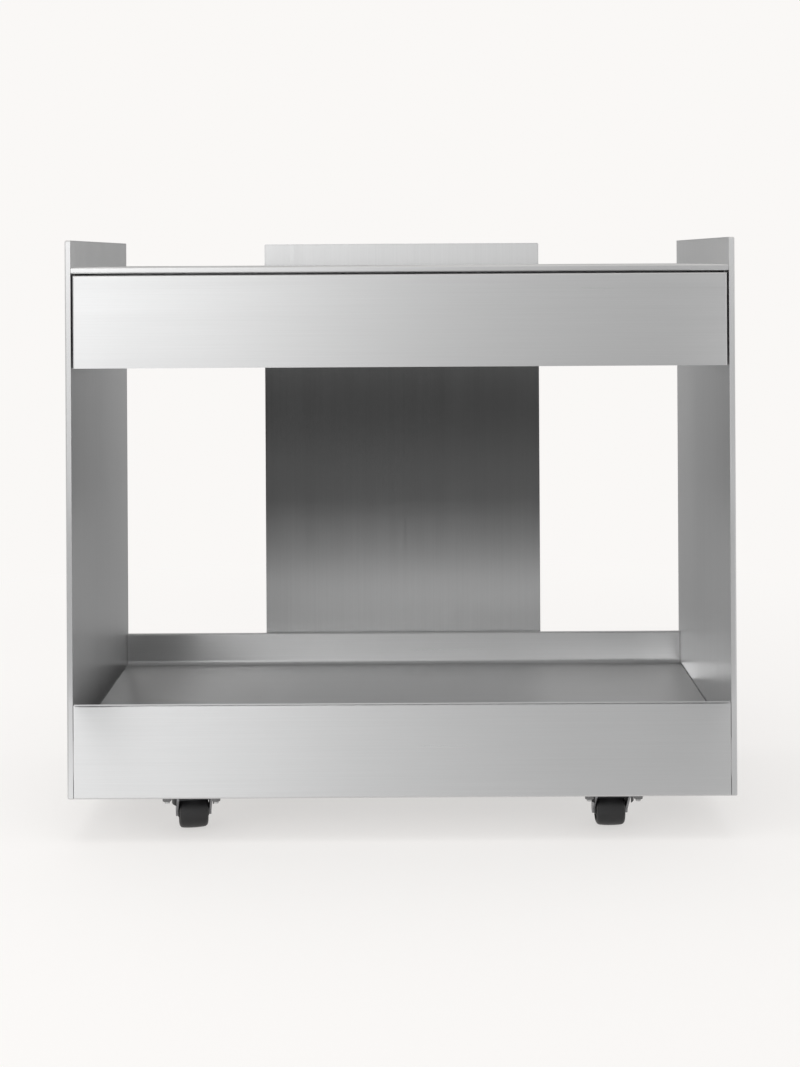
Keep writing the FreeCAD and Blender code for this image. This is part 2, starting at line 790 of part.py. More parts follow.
def make_drawer_front():
    """A folded pan, open behind and below: the finger grip is the hollow behind its hemmed lower edge."""
    body = new_body("drawer_front")
    face = rectangle(
        sketch(body, "XZ_Plane", f"-{DRAWER_BACK}"),
        (f"-{DRAWER_HALF}", DRAWER_BOTTOM),
        (DRAWER_HALF, DRAWER_TOP),
    )
    pad(body, face, "drawer_front_depth")
    fillet(
        body,
        "fold_radius",
        lambda middle, way: near(middle.y, FRONT) and not near(middle.z, DRAWER_BOTTOM),
    )
    hollow = rectangle(
        sketch(body, "XY_Plane", DRAWER_BOTTOM),
        (f"-{DRAWER_HALF} + drawer_sheet", f"{FRONT} + drawer_sheet"),
        (f"{DRAWER_HALF} - drawer_sheet", f"{DRAWER_BACK} - drawer_sheet"),
    )
    pocket(body, hollow, "drawer_front_height - drawer_sheet", towards_normal=True)
    window = rectangle(
        sketch(body, "XZ_Plane", f"-{DRAWER_BACK}"),
        (f"-{DRAWER_HALF} + drawer_side_lip", DRAWER_BOTTOM),
        (f"{DRAWER_HALF} - drawer_side_lip", f"{DRAWER_TOP} - drawer_top_lip"),
    )
    pocket(body, window, through("drawer_sheet"), towards_normal=True)
    hem = rectangle(
        sketch(body, "XZ_Plane", f"-{FRONT} - 2*drawer_sheet"),
        (f"-{DRAWER_HALF} + drawer_side_lip", DRAWER_BOTTOM),
        (f"{DRAWER_HALF} - drawer_side_lip", f"{DRAWER_BOTTOM} + drawer_hem"),
    )
    pad(body, hem, "drawer_sheet")
    holes = circles(
        sketch(body, "XZ_Plane", f"-{DRAWER_BACK}"),
        front_screw_sites(),
        "screw_diameter/2 + hole_clearance",
    )
    pocket(body, holes, through("drawer_sheet"), towards_normal=True)
    node(body, "drawer_front")


def make_drawer_floor():
    """The sheet that closes the drawer below, under its walls."""
    body = new_body("drawer_floor")
    plan = rectangle(
        sketch(body, "XY_Plane", TUB_BOTTOM),
        (f"-{TUB_HALF}", DRAWER_BACK),
        (TUB_HALF, TUB_REAR),
    )
    pad(body, plan, "drawer_sheet")
    node(body, "drawer_floor")


def drawer_wall(name, low, high):
    """An upright sheet on the drawer's floor, between two corners of its plan."""
    body = new_body(name)
    plan = rectangle(sketch(body, "XY_Plane", f"{TUB_BOTTOM} + drawer_sheet"), low, high)
    pad(body, plan, f"{TUB_HEIGHT} - drawer_sheet")
    return body


def make_drawer_walls():
    """The drawer's four upright sheets, which meet at their ends: the long pair between the short pair."""
    hole = "screw_diameter/2 + hole_clearance"
    within = f"({TUB_HALF} - drawer_sheet)"
    runner_sites = [(y, RUNNER_LEVEL) for y in runner_screw_places()]
    walls = []
    for near_side, far_side in ((f"-{TUB_HALF}", f"-{within}"), (within, TUB_HALF)):
        wall = drawer_wall("drawer_side", (near_side, DRAWER_BACK), (far_side, TUB_REAR))
        pocket(wall, circles(sketch(wall, "YZ_Plane"), runner_sites, hole), both_ways=True)
        walls.append(wall)
    front = drawer_wall(
        "drawer_inner_front", (f"-{within}", DRAWER_BACK), (within, f"{DRAWER_BACK} + drawer_sheet")
    )
    front_holes = circles(sketch(front, "XZ_Plane", f"-{DRAWER_BACK}"), front_screw_sites(), hole)
    pocket(front, front_holes, through("drawer_sheet"))
    walls.append(front)
    walls.append(drawer_wall("drawer_rear", (f"-{within}", f"{TUB_REAR} - drawer_sheet"), (within, TUB_REAR)))
    node(grouped("drawer_walls", walls), "drawer_walls")


def make_drawer_screws():
    """The screws from the tub into the front's lips, and from the inner rails into the tub."""
    front_screws = []
    for x, z in front_screw_sites():
        seat = (x, f"{DRAWER_BACK} + drawer_sheet", z)
        length = "2*drawer_sheet + screw_end"
        front_screws.append(socket_screw("front_screw", "screw", seat, Vector(0, -1, 0), length))
    node(grouped("drawer_front_screws", front_screws), "drawer_front_screws")

    runner_screws = []
    for side in SIDES.values():
        for y in runner_screw_places():
            seat = (f"{side}*({TUB_HALF} + runner_sheet)", y, RUNNER_LEVEL)
            length = "runner_sheet + drawer_sheet + screw_end"
            runner_screws.append(socket_screw("runner_screw", "screw", seat, Vector(-side, 0, 0), length))
    node(grouped("runner_drawer_screws", runner_screws), "runner_drawer_screws")


# Drawer runners


def rail_section(side, web, flange_end, half, thickness):
    """A C section: its web's faces and flanges' ends as distances from the panel, and half its height."""

    def point(depth, rise):
        return f"{side}*({INNER} - ({depth}))", f"{RUNNER_LEVEL} + ({rise})"

    outer_face, inner_face = web
    return [
        point(outer_face, f"-{half}"),
        point(flange_end, f"-{half}"),
        point(flange_end, f"-{half} + {thickness}"),
        point(inner_face, f"-{half} + {thickness}"),
        point(inner_face, f"{half} - {thickness}"),
        point(flange_end, f"{half} - {thickness}"),
        point(flange_end, half),
        point(outer_face, half),
    ]


def make_rail(name, section, front, rear):
    """A rail of one section along Y."""
    body = new_body(name)
    pad(body, outline(sketch(body, "XZ_Plane", f"-{rear}"), section), f"{rear} - {front}")
    return body


def make_cage(name, side, web_start, flange_end, gap_middle):
    """A C-shaped cage with a row of balls in each flange, between two rails."""
    half = f"({gap_middle} + cage_sheet/2)"
    web = (web_start, f"{web_start} + cage_sheet")
    section = rail_section(side, web, flange_end, half, "cage_sheet")
    strip = make_rail(name + "_strip", section, CAGE_FRONT, f"({CAGE_FRONT} + cage_length)")
    x = f"{side}*({INNER} - ({web_start} + {flange_end})/2)"
    start = f"({CAGE_FRONT} + cage_length/2 - {(RUNNER_BALLS - 1) / 2}*ball_pitch)"
    places = [(x, f"{start} + {index}*ball_pitch") for index in range(RUNNER_BALLS)]
    hole = "ball_diameter/2 + ball_clearance"
    pocket(strip, circles(sketch(strip, "XY_Plane", RUNNER_LEVEL), places, hole), both_ways=True)
    balls = [
        ball(name + "_ball", "ball_diameter/2", (x, y, f"{RUNNER_LEVEL} + {row}*{gap_middle}"))
        for x, y in places
        for row in (-1, 1)
    ]
    node(grouped(name, [strip, *balls]), name)


def countersink(body, start, towards):
    """A conical hole for a flat-headed screw, through a rail's web from its narrow end."""
    sink = body.newObject("PartDesign::SubtractiveCone", body.Name + "_countersink")
    bind(
        sink,
        Radius1="screw_diameter/2 + hole_clearance",
        Radius2="flat_head_diameter/2 + hole_clearance",
        Height="runner_sheet",
    )
    sink.AttachmentOffset = Placement(Vector(), Rotation(Vector(0, 0, 1), towards))
    plane = next(f for f in body.Origin.OriginFeatures if f.Role == "XY_Plane")
    sink.AttachmentSupport = [(plane, "")]
    sink.MapMode = "FlatFace"
    for name, text in zip("xyz", start):
        sink.setExpression(f"AttachmentOffset.Base.{name}", bound(text))
    doc.recompute()


def make_runner(side_name):
    """Three nested rails with a ball cage between each two."""
    side = SIDES[side_name]
    outer = make_rail(
        side_name + "_runner_outer",
        rail_section(side, ("0", "runner_sheet"), OUTER_END, OUTER_HALF, "runner_sheet"),
        RUNNER_FRONT,
        RUNNER_REAR,
    )
    for y in bar_places(side_name):
        countersink(outer, (f"{side}*{INNER}", y, RUNNER_LEVEL), Vector(-side, 0, 0))
    node(outer, side_name + "_runner_outer")

    middle_web = (MIDDLE_START, f"{MIDDLE_START} + runner_sheet")
    section = rail_section(side, middle_web, MIDDLE_END, MIDDLE_HALF, "runner_sheet")
    name = side_name + "_runner_middle"
    node(make_rail(name, section, RUNNER_FRONT, MOVING_REAR), name)

    inner_web = ("runner_width", "runner_width - runner_sheet")
    section = rail_section(side, inner_web, INNER_START, INNER_HALF, "runner_sheet")
    name = side_name + "_runner_inner"
    inner = make_rail(name, section, RUNNER_FRONT, MOVING_REAR)
    sites = [(y, RUNNER_LEVEL) for y in runner_screw_places()]
    hole = "screw_diameter/2 + hole_clearance"
    pocket(inner, circles(sketch(inner, "YZ_Plane"), sites, hole), both_ways=True)
    node(inner, name)

    slack = "(web_gap - cage_sheet)/2"
    outer_middle = f"({OUTER_HALF} - runner_sheet - {BALL_GAP}/2)"
    inner_middle = f"({MIDDLE_HALF} - runner_sheet - {BALL_GAP}/2)"
    outer_start = f"(runner_sheet + {slack})"
    inner_start = f"({MIDDLE_START} + runner_sheet + {slack})"
    outer_end = f"({OUTER_END} - cage_gap)"
    inner_end = "(runner_width - cage_gap)"
    make_cage(side_name + "_outer_ball_cage", side, outer_start, outer_end, outer_middle)
    make_cage(side_name + "_inner_ball_cage", side, inner_start, inner_end, inner_middle)


def make_runner_fixings():
    """The flat-headed screws from the outer rails into the panels, and the stop at each rail's rear."""
    screws = []
    stops = []
    for side_name, side in SIDES.items():
        towards = Vector(side, 0, 0)
        for y in bar_places(side_name):
            seat = (f"{side}*{INNER}", y, RUNNER_LEVEL)
            back = offset(seat, towards.negative(), "runner_sheet - flat_head_recess")
            head = rod(
                "flat_head",
                "flat_head_diameter/2",
                "runner_sheet - flat_head_recess",
                back,
                towards,
                tip_radius="screw_diameter/2",
            )
            grip = "panel_thickness - panel_sheet - bolt_end_gap"
            shank = rod("flat_shank", "screw_diameter/2", grip, seat, towards)
            screws.append(joined("runner_panel_screw", [head, shank]))
        inside = f"({INNER} - runner_sheet - stop_depth)" if side > 0 else f"(-{INNER} + runner_sheet)"
        stops.append(
            box(
                side_name + "_runner_stop",
                (inside, f"{RUNNER_REAR} - stop_length", f"{RUNNER_LEVEL} - stop_height/2"),
                ("stop_depth", "stop_length", "stop_height"),
            )
        )
    node(grouped("runner_panel_screws", screws), "runner_panel_screws")
    node(grouped("runner_stops", stops), "runner_stops")


# Castors


def make_castor_plate(castor, x, y):
    """The plate under the tray's flange, with the kingpin's head let into its top."""
    body = new_body(castor + "_castor_plate")
    corner = ("castor_plate_width/2", "castor_plate_depth/2")
    blank = rectangle(
        sketch(body, "XY_Plane", PLATE_UNDER), ("-castor_plate_width/2", "-castor_plate_depth/2"), corner
    )
    pad(body, blank, "castor_plate_sheet")
    fillet(body, "castor_plate_radius", lambda middle, way: abs(way.z) > ALONG)
    sites = [(f"{left}*{CASTOR_BOLT_X}", f"{back}*{CASTOR_BOLT_Y}") for left in (-1, 1) for back in (-1, 1)]
    top = sketch(body, "XY_Plane", BASE)
    pocket(body, circles(top, sites, "castor_bolt_diameter/2 + hole_clearance"))
    top = sketch(body, "XY_Plane", BASE)
    pocket(body, circles(top, [("0", "0")], "kingpin_head/2 + hole_clearance"), "kingpin_head_height")
    top = sketch(body, "XY_Plane", BASE)
    pocket(body, circles(top, [("0", "0")], "kingpin_diameter/2 + running_clearance"))
    node(place(body, x, y), castor + "_castor_plate")


def make_kingpin(castor, x, y):
    """The rivet that the fork turns on, closed under the fork's crown."""
    body = new_body(castor + "_kingpin")
    shank = "kingpin_diameter/2"
    neck = f"({BASE} - kingpin_head_height)"
    foot_top = f"({CROWN_UNDER} - swivel_gap)"
    foot = f"({foot_top} - kingpin_foot_height)"
    profile = [
        ("0", foot),
        ("kingpin_foot/2", foot),
        ("kingpin_foot/2", foot_top),
        (shank, foot_top),
        (shank, neck),
        ("kingpin_head/2", neck),
        ("kingpin_head/2", BASE),
        ("0", BASE),
    ]
    turned(body, outline(sketch(body, "XZ_Plane"), profile), "V_Axis")
    node(place(body, x, y), castor + "_kingpin")


def make_ball_ring(castor, x, y, turn):
    """The swivel's thrust bearing: a flat ring with balls in its holes."""
    level = f"({CROWN_TOP} + bearing_gap/2)"
    ring = new_body(castor + "_ring")
    flat = sketch(ring, "XY_Plane", f"{level} - bearing_ring_sheet/2")
    circles(flat, [("0", "0")], f"{BEARING_RADIUS} + bearing_ring_width/2")
    circles(flat, [("0", "0")], f"{BEARING_RADIUS} - bearing_ring_width/2")
    pad(ring, flat, "bearing_ring_sheet")
    places = []
    for index in range(BEARING_BALLS):
        angle = index * 360 / BEARING_BALLS
        places.append((f"{BEARING_RADIUS}*cos({angle} deg)", f"{BEARING_RADIUS}*sin({angle} deg)"))
    top = sketch(ring, "XY_Plane", f"{level} + bearing_ring_sheet/2")
    pocket(ring, circles(top, places, "bearing_ball/2 + ball_clearance"))
    balls = [ball(castor + "_ball", "bearing_ball/2", (across, up, level)) for across, up in places]
    group = grouped(castor + "_ball_ring", [ring, *balls])
    node(place(group, x, y, turn=turn), castor + "_ball_ring")


def make_fork(castor, x, y, turn):
    """Crown with flat ends, a rim and a skirt at each side, and two legs down to the trailing axle."""
    body = new_body(castor + "_fork")
    inside = f"({CROWN_RADIUS} - skirt_wall)"
    beyond = f"(2*{CROWN_RADIUS})"
    skirt_bottom = f"({CROWN_UNDER} - skirt_drop)"
    skirt_top = f"({PLATE_UNDER} - skirt_top_gap)"
    centre = [("0", "0")]
    drum = circles(sketch(body, "XY_Plane", skirt_bottom), centre, CROWN_RADIUS)
    pad(body, drum, f"{skirt_top} - {skirt_bottom}")
    bearing_well = circles(sketch(body, "XY_Plane", skirt_top), centre, inside)
    pocket(body, bearing_well, f"{skirt_top} - {CROWN_TOP}")
    under = circles(sketch(body, "XY_Plane", skirt_bottom), centre, inside)
    pocket(body, under, "skirt_drop", towards_normal=True)
    mouth_half = f"({FORK_HALF} + fork_skirt_gap)"
    mouth = rectangle(
        sketch(body, "XY_Plane", skirt_bottom),
        (f"-{mouth_half}", f"-{beyond}"),
        (mouth_half, beyond),
    )
    pocket(body, mouth, "skirt_drop", towards_normal=True)
    ends = sketch(body, "XY_Plane", skirt_bottom)
    rectangle(ends, (f"-{beyond}", f"-{beyond}"), (beyond, f"-{CROWN_CHORD}"))
    rectangle(ends, (f"-{beyond}", CROWN_CHORD), (beyond, beyond))
    pocket(body, ends, f"{skirt_top} - {skirt_bottom}", towards_normal=True)

    shoulder = f"({CROWN_UNDER} - leg_shoulder)"
    middle = f"({CROWN_UNDER} + crown_sheet/2)"
    leg_front = f"(leg_front_margin - {CROWN_CHORD})"
    leg_rear = f"({CROWN_CHORD} - leg_rear_margin)"
    leg = [
        (leg_front, middle),
        (leg_front, CROWN_UNDER),
        ("castor_trail - axle_boss/2", AXLE_LEVEL),
        ("castor_trail + axle_boss/2", AXLE_LEVEL),
        ("castor_trail + axle_boss/2", shoulder),
        (leg_rear, CROWN_UNDER),
        (leg_rear, middle),
    ]
    pad(body, outline(sketch(body, "YZ_Plane"), leg), f"2*{FORK_HALF}", both_ways=True)
    axle = [("castor_trail", AXLE_LEVEL)]
    pad(body, circles(sketch(body, "YZ_Plane"), axle, "axle_boss/2"), f"2*{FORK_HALF}", both_ways=True)
    gap = rectangle(
        sketch(body, "YZ_Plane"),
        (f"-{beyond}", "0"),
        (beyond, CROWN_UNDER),
    )
    pocket(body, gap, "fork_inside", both_ways=True)
    hole = "axle_diameter/2 + running_clearance"
    pocket(body, circles(sketch(body, "YZ_Plane"), axle, hole), both_ways=True)
    pin_hole = circles(
        sketch(body, "XY_Plane", CROWN_TOP), centre, "kingpin_diameter/2 + running_clearance"
    )
    pocket(body, pin_hole)
    node(place(body, x, y, turn=turn), castor + "_fork")


def axle_place(x, y, turn):
    """Where the wheel's middle stands: the trail carried round the kingpin by the castor's turn."""
    across = f"{x} - castor_trail*sin({turn}*1 deg)"
    along = f"{y} + castor_trail*cos({turn}*1 deg)"
    return across, along, AXLE_LEVEL


def make_axle(castor, x, y, turn):
    """A plain rivet, flush with the fork's outer faces."""
    body = new_body(castor + "_axle")
    radius = "(axle_diameter/2)"
    profile = [
        (f"-{FORK_HALF}", "0"),
        (FORK_HALF, "0"),
        (FORK_HALF, f"{radius} - axle_chamfer"),
        (f"{FORK_HALF} - axle_chamfer", radius),
        (f"-{FORK_HALF} + axle_chamfer", radius),
        (f"-{FORK_HALF}", f"{radius} - axle_chamfer"),
    ]
    turned(body, outline(sketch(body, "XZ_Plane"), profile), "H_Axis")
    node(place(body, *axle_place(x, y, turn), turn), castor + "_axle")


def make_wheel(castor, x, y, turn):
    """A solid wheel with rounded tread edges, a dished side and a hub boss that meets the fork."""
    body = new_body(castor + "_wheel")
    bore = "(axle_diameter/2 + running_clearance)"
    tread = "(wheel_diameter/2)"
    half = "(wheel_width/2)"
    hub_face = "(fork_inside/2 - wheel_hub_gap)"
    hub = "(wheel_hub/2)"
    dish = f"({half} - wheel_recess)"
    rim = f"({tread} - wheel_rim)"
    profile = [
        (f"-{hub_face}", bore),
        (hub_face, bore),
        (hub_face, hub),
        (dish, hub),
        (dish, rim),
        (half, rim),
        (half, tread),
        (f"-{half}", tread),
        (f"-{half}", rim),
        (f"-{dish}", rim),
        (f"-{dish}", hub),
        (f"-{hub_face}", hub),
    ]
    turned(body, outline(sketch(body, "XZ_Plane"), profile), "H_Axis")
    fillet(body, "wheel_edge_radius", lambda middle, way: near(middle.y**2 + middle.z**2, f"{tread}^2"))
    node(place(body, *axle_place(x, y, turn), turn), castor + "_wheel")


def make_castor_bolts():
    """Hexagon bolts from inside the castor channels, and their nuts under the castor plates."""
    seat_level = f"({BASE} + tray_sheet + channel_sheet)"
    nut_level = f"({PLATE_UNDER} - castor_nut_height)"
    end_level = f"({nut_level} - castor_bolt_end)"
    bolts = []
    nuts = []
    for x, y in castor_bolt_sites():
        head = hexagon("castor_bolt_head", "castor_bolt_hex", "castor_bolt_head_height", (x, y, seat_level))
        length = f"{seat_level} - {end_level}"
        shank = rod("castor_bolt_shank", "castor_bolt_diameter/2", length, (x, y, end_level))
        bolts.append(joined("castor_bolt", [head, shank]))
        blank = hexagon("castor_nut_blank", "castor_bolt_hex", "castor_nut_height", (x, y, nut_level))
        hole = rod(
            "castor_nut_hole",
            "castor_bolt_diameter/2 + hole_clearance",
            "castor_nut_height",
            (x, y, nut_level),
        )
        nuts.append(cut("castor_nut", blank, [hole]))
    node(grouped("castor_bolts", bolts), "castor_bolts")
    node(grouped("castor_nuts", nuts), "castor_nuts")


def make_castor(castor):
    side, y = CASTORS[castor]
    x = f"{side}*castor_spacing/2"
    turn = castor + "_turn"
    make_castor_plate(castor, x, y)
    make_kingpin(castor, x, y)
    make_ball_ring(castor, x, y, turn)
    make_fork(castor, x, y, turn)
    make_axle(castor, x, y, turn)
    make_wheel(castor, x, y, turn)


def check_and_write():
    """Stops on any failed object or broken shape, then writes each sub-part to its own file."""
    doc.recompute()
    for item in doc.Objects:
        if {"Invalid", "Error"} & set(item.State):
            raise RuntimeError(f"{item.Name} failed: {item.State}")
    for item in nodes:
        if item.Shape.isNull() or not item.Shape.isValid():
            raise RuntimeError(f"{item.Label} has no valid shape")
    os.makedirs("parts", exist_ok=True)
    for item in nodes:
        item.Shape.exportStep(f"parts/{item.Label}.step")


for side_name in SIDES:
    make_panel(side_name, "overall_depth")
make_panel("back", "back_width", "(overall_height - back_drop)")
make_top_plate()
make_top_stiffeners()
make_lower_tray()
for side_name in SIDES:
    make_tray_bracket(side_name)
    make_castor_channel(side_name)
make_panel_bolts()
make_drawer_front()
make_drawer_floor()
make_drawer_walls()
make_drawer_screws()
for side_name in SIDES:
    make_runner(side_name)
make_runner_fixings()
for castor_name in CASTORS:
    make_castor(castor_name)
make_castor_bolts()
check_and_write()
print(f"{len(nodes)} sub-parts")
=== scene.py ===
"""Finishes of the serving trolley: brushed steel, plated castors, moulded wheels and a pale studio."""

import json
import math

import bpy
import numpy as np
from bpy.props import FloatProperty, FloatVectorProperty, PointerProperty
from mathutils import Matrix, Vector


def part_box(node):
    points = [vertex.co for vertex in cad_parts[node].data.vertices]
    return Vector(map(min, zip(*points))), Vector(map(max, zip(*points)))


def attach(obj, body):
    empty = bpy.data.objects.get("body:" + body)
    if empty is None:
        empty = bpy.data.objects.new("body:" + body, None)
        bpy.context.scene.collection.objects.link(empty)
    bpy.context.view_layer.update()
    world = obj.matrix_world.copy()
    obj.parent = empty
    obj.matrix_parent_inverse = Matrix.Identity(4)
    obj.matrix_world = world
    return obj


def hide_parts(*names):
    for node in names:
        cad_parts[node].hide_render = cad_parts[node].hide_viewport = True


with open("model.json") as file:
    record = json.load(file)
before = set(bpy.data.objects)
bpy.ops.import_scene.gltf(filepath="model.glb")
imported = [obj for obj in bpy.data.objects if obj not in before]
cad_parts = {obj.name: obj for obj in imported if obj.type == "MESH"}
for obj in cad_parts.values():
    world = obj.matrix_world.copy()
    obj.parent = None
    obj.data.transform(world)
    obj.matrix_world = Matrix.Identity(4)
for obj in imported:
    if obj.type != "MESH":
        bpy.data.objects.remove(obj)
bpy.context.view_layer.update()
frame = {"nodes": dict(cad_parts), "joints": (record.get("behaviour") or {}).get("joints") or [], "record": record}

bl_info = {
    "name": "Serving trolley finishes",
    "version": (1, 0, 0),
    "blender": (4, 5, 0),
    "location": "3D View > Sidebar > Trolley",
    "description": "Brushed steel, plated castors, moulded wheels and a pale studio for the serving trolley",
    "category": "Object",
}

CASTORS = ("front_left", "front_right", "rear_left", "rear_right")
PANELS = ("left", "right", "back")
SIDES = ("left", "right")
# Turns of the brushed grain, which runs along X in its node group: left as it is, or stood upright
ALONG_X = (0.0, 0.0, 0.0)
UPRIGHT = (0.0, math.pi / 2, 0.0)
# Offset of the noise, so that its cells do not line up with the trolley's middle planes
GRAIN_START = (0.313, 0.171, 0.237)

# Brush lines: how much longer and wider than the fine ones the medium and broad ones are, and how strong
MEDIUM_LENGTH, MEDIUM_WIDTH, MEDIUM_SHARE = 3.0, 4.0, 0.8
BROAD_LENGTH, BROAD_WIDTH, BROAD_SHARE = 9.0, 22.0, 0.5
MEDIUM_ROUGHNESS, BROAD_ROUGHNESS, MEDIUM_HEIGHT = 0.10, 0.12, 0.5
# Mottling: how much larger than the fine cells the large ones are
LARGE_CELLS = 9.0
CASTOR_ZINC = {"size": 0.0008, "contrast": 0.28, "roughness": 0.40, "spread": 0.25, "height": 0.00001}

# Reflected colours of the pieces that are mostly out of sight
BAR_COLOUR = (0.40, 0.40, 0.41)
BEARING_COLOUR = (0.60, 0.60, 0.62)
NYLON_COLOUR = (0.045, 0.045, 0.045)
FASTENER_COLOUR = (0.48, 0.48, 0.48)

# Arc radii at the wheel's corners, from the mouth of its bore out to its rim
WHEEL_ARCS = [0.0004, 0.0006, 0.0008, 0.0010, 0.0006]
# Corners of the tread, as shares of half its width, and the arc radius at those between its edges
TREAD_SHARES, TREAD_ARC = (1.0, 0.65, 0.4, 0.15), 0.03
# Width of a nut's end faces, as a share of its width over the flats
NUT_END = 0.96
# Angles, in degrees, from which an edge of a wheel or a nut is shaded as sharp
WHEEL_SHARP, NUT_SHARP = 35.0, 20.0

# Lamps: place, size and power in watts; all face one point of the trolley
LAMP_TARGET = (0.0, 0.0, 0.4)
LAMPS = {
    "overhead": ((-0.2, -0.3, 2.7), (2.6, 1.8), 26.0),
    "left_window": ((-2.7, -1.6, 1.5), (1.6, 2.0), 20.0),
}
# Half of the floor's width and the points along it, and the width of the camera's sensor in millimetres
FLOOR_HALF, FLOOR_POINTS = 14.0, 29
SENSOR_WIDTH = 36.0

# Points along each side of a card, and of the large one on the floor
CARD_POINTS, FLOOR_CARD_POINTS = 5, 21
# The curved card in front of the trolley: radius, half of the angle that it spans, height, and its points
WALL_RADIUS, WALL_TURN, WALL_HEIGHT = 3.6, 1.25, 3.2
WALL_COLUMNS, WALL_ROWS = 41, 9
# How high the cards on the floor lie above it, and how far those in the bay end before the side panels
FLOOR_CARD_LEVEL = 0.003
CARD_END_GAP = 0.004
# The cards glow and only polished surfaces see them: they are painted reflections, and painted shade where they
# are dark
# Brightness of the cards: (place in metres, brightness) along each axis that it changes on
CARD_LEVELS = {
    "front_card": {
        "X": [
            (-3.4, 0.6), (-1.8, 0.7), (-1.35, 1.4), (-1.0, 1.52), (-0.63, 1.03),
            (-0.31, 0.81), (0.0, 0.65), (0.33, 0.55), (0.65, 0.485), (0.98, 0.355),
            (1.12, 0.34), (1.3, 0.7), (1.7, 0.75), (2.2, 0.55), (3.4, 0.55),
        ],
        "Z": [(0.0, 1.0), (0.55, 1.0), (0.7, 1.75), (1.0, 1.75), (1.2, 1.45), (3.2, 1.45)],
    },
    "floor_card": {
        "X": [
            (-2.5, 0.6), (-0.75, 0.65), (-0.6, 0.8), (-0.45, 1.26), (-0.2, 1.05), (-0.06, 0.90),
            (0.085, 0.80), (0.23, 0.72), (0.5, 0.68), (0.65, 0.8), (0.8, 0.85), (2.5, 0.9),
        ],
    },
    # Painted shade: the dark slats and cheeks before the bay
    "louvre": {
        "X": [(-0.45, 0.65), (-0.22, 0.70), (-0.12, 1.0), (0.45, 1.03)],
        "Z": [(0.16, 0.42), (0.20, 0.20), (0.25, 0.10), (0.35, 0.06), (0.42, 0.06)],
    },
    "bay_card": {"Z": [(0.33, 0.11), (0.42, 0.045), (0.556, 0.035)]},
    "ceiling_card": {"Z": [(0.5, 0.35), (0.6, 0.35)]},
    "apron_card": {"X": [(-0.4, 0.3), (-0.1, 0.62), (0.4, 0.62)]},
    "back_card": {"Z": [(0.167, 0.47), (0.25, 0.42), (0.34, 0.25)]},
    "tray_card": {
        "X": [(-0.31, 0.14), (-0.27, 0.25), (-0.2, 0.55), (-0.12, 0.68), (0.15, 0.6), (0.391, 0.9)],
    },
    "corner_card": {"X": [(-0.392, 0.04), (-0.35, 0.07), (-0.31, 0.14)]},
    "rim_card": {"X": [(-0.4, 1.0), (0.4, 0.55)]},
    "rear_floor_card": {"X": [(-0.6, 0.12), (-0.2, 0.14), (0.0, 0.4), (0.15, 0.75), (0.6, 0.75)]},
    "rear_card": {
        "X": [
            (-0.55, 0.3), (-0.49, 0.38), (-0.46, 0.6), (-0.39, 1.2), (-0.34, 1.2), (-0.29, 0.95),
            (-0.1, 0.97), (0.1, 1.5), (0.17, 1.5), (0.25, 1.35), (0.29, 1.22), (0.34, 1.28), (0.55, 1.28),
        ],
        "Z": [(0.0, 0.29), (0.3, 0.29), (0.7, 0.39), (1.4, 0.39)],
    },
}


# Sizes and colours that a user may change


class TrolleySteel(bpy.types.PropertyGroup):
    """Brushed and plain sheet steel."""

    colour: FloatVectorProperty(
        name="Steel colour",
        description="Reflected colour of the brushed sheets",
        subtype="COLOR",
        min=0,
        max=1,
        default=(0.625, 0.627, 0.628),
    )
    mill_colour: FloatVectorProperty(
        name="Mill steel colour",
        description="Reflected colour of the unbrushed sheet inside",
        subtype="COLOR",
        min=0,
        max=1,
        default=(0.545, 0.55, 0.555),
    )
    roughness: FloatProperty(
        name="Roughness",
        description="Mean roughness of the brushed sheets",
        subtype="FACTOR",
        min=0,
        max=1,
        default=0.32,
    )
    stretch: FloatProperty(
        name="Highlight stretch",
        description="How far highlights are drawn out across the grain",
        subtype="FACTOR",
        min=0,
        max=1,
        default=0.85,
    )
    panel_stretch: FloatProperty(
        name="Panel highlight stretch",
        description="How far highlights are drawn out across the grain of the upright panels",
        subtype="FACTOR",
        min=0,
        max=1,
        default=0.7,
    )
    line_width: FloatProperty(
        name="Line width",
        description="Width of the finest brush lines",
        unit="LENGTH",
        default=0.0006,
    )
    line_length: FloatProperty(
        name="Line length",
        description="Length of the finest brush lines",
        unit="LENGTH",
        default=0.11,
    )
    line_depth: FloatProperty(
        name="Line depth",
        description="Depth of the brush lines",
        unit="LENGTH",
        default=0.000004,
    )
    contrast: FloatProperty(
        name="Line contrast",
        description="How much the brush lines lighten and darken the steel",
        subtype="FACTOR",
        min=0,
        max=1,
        default=0.08,
    )


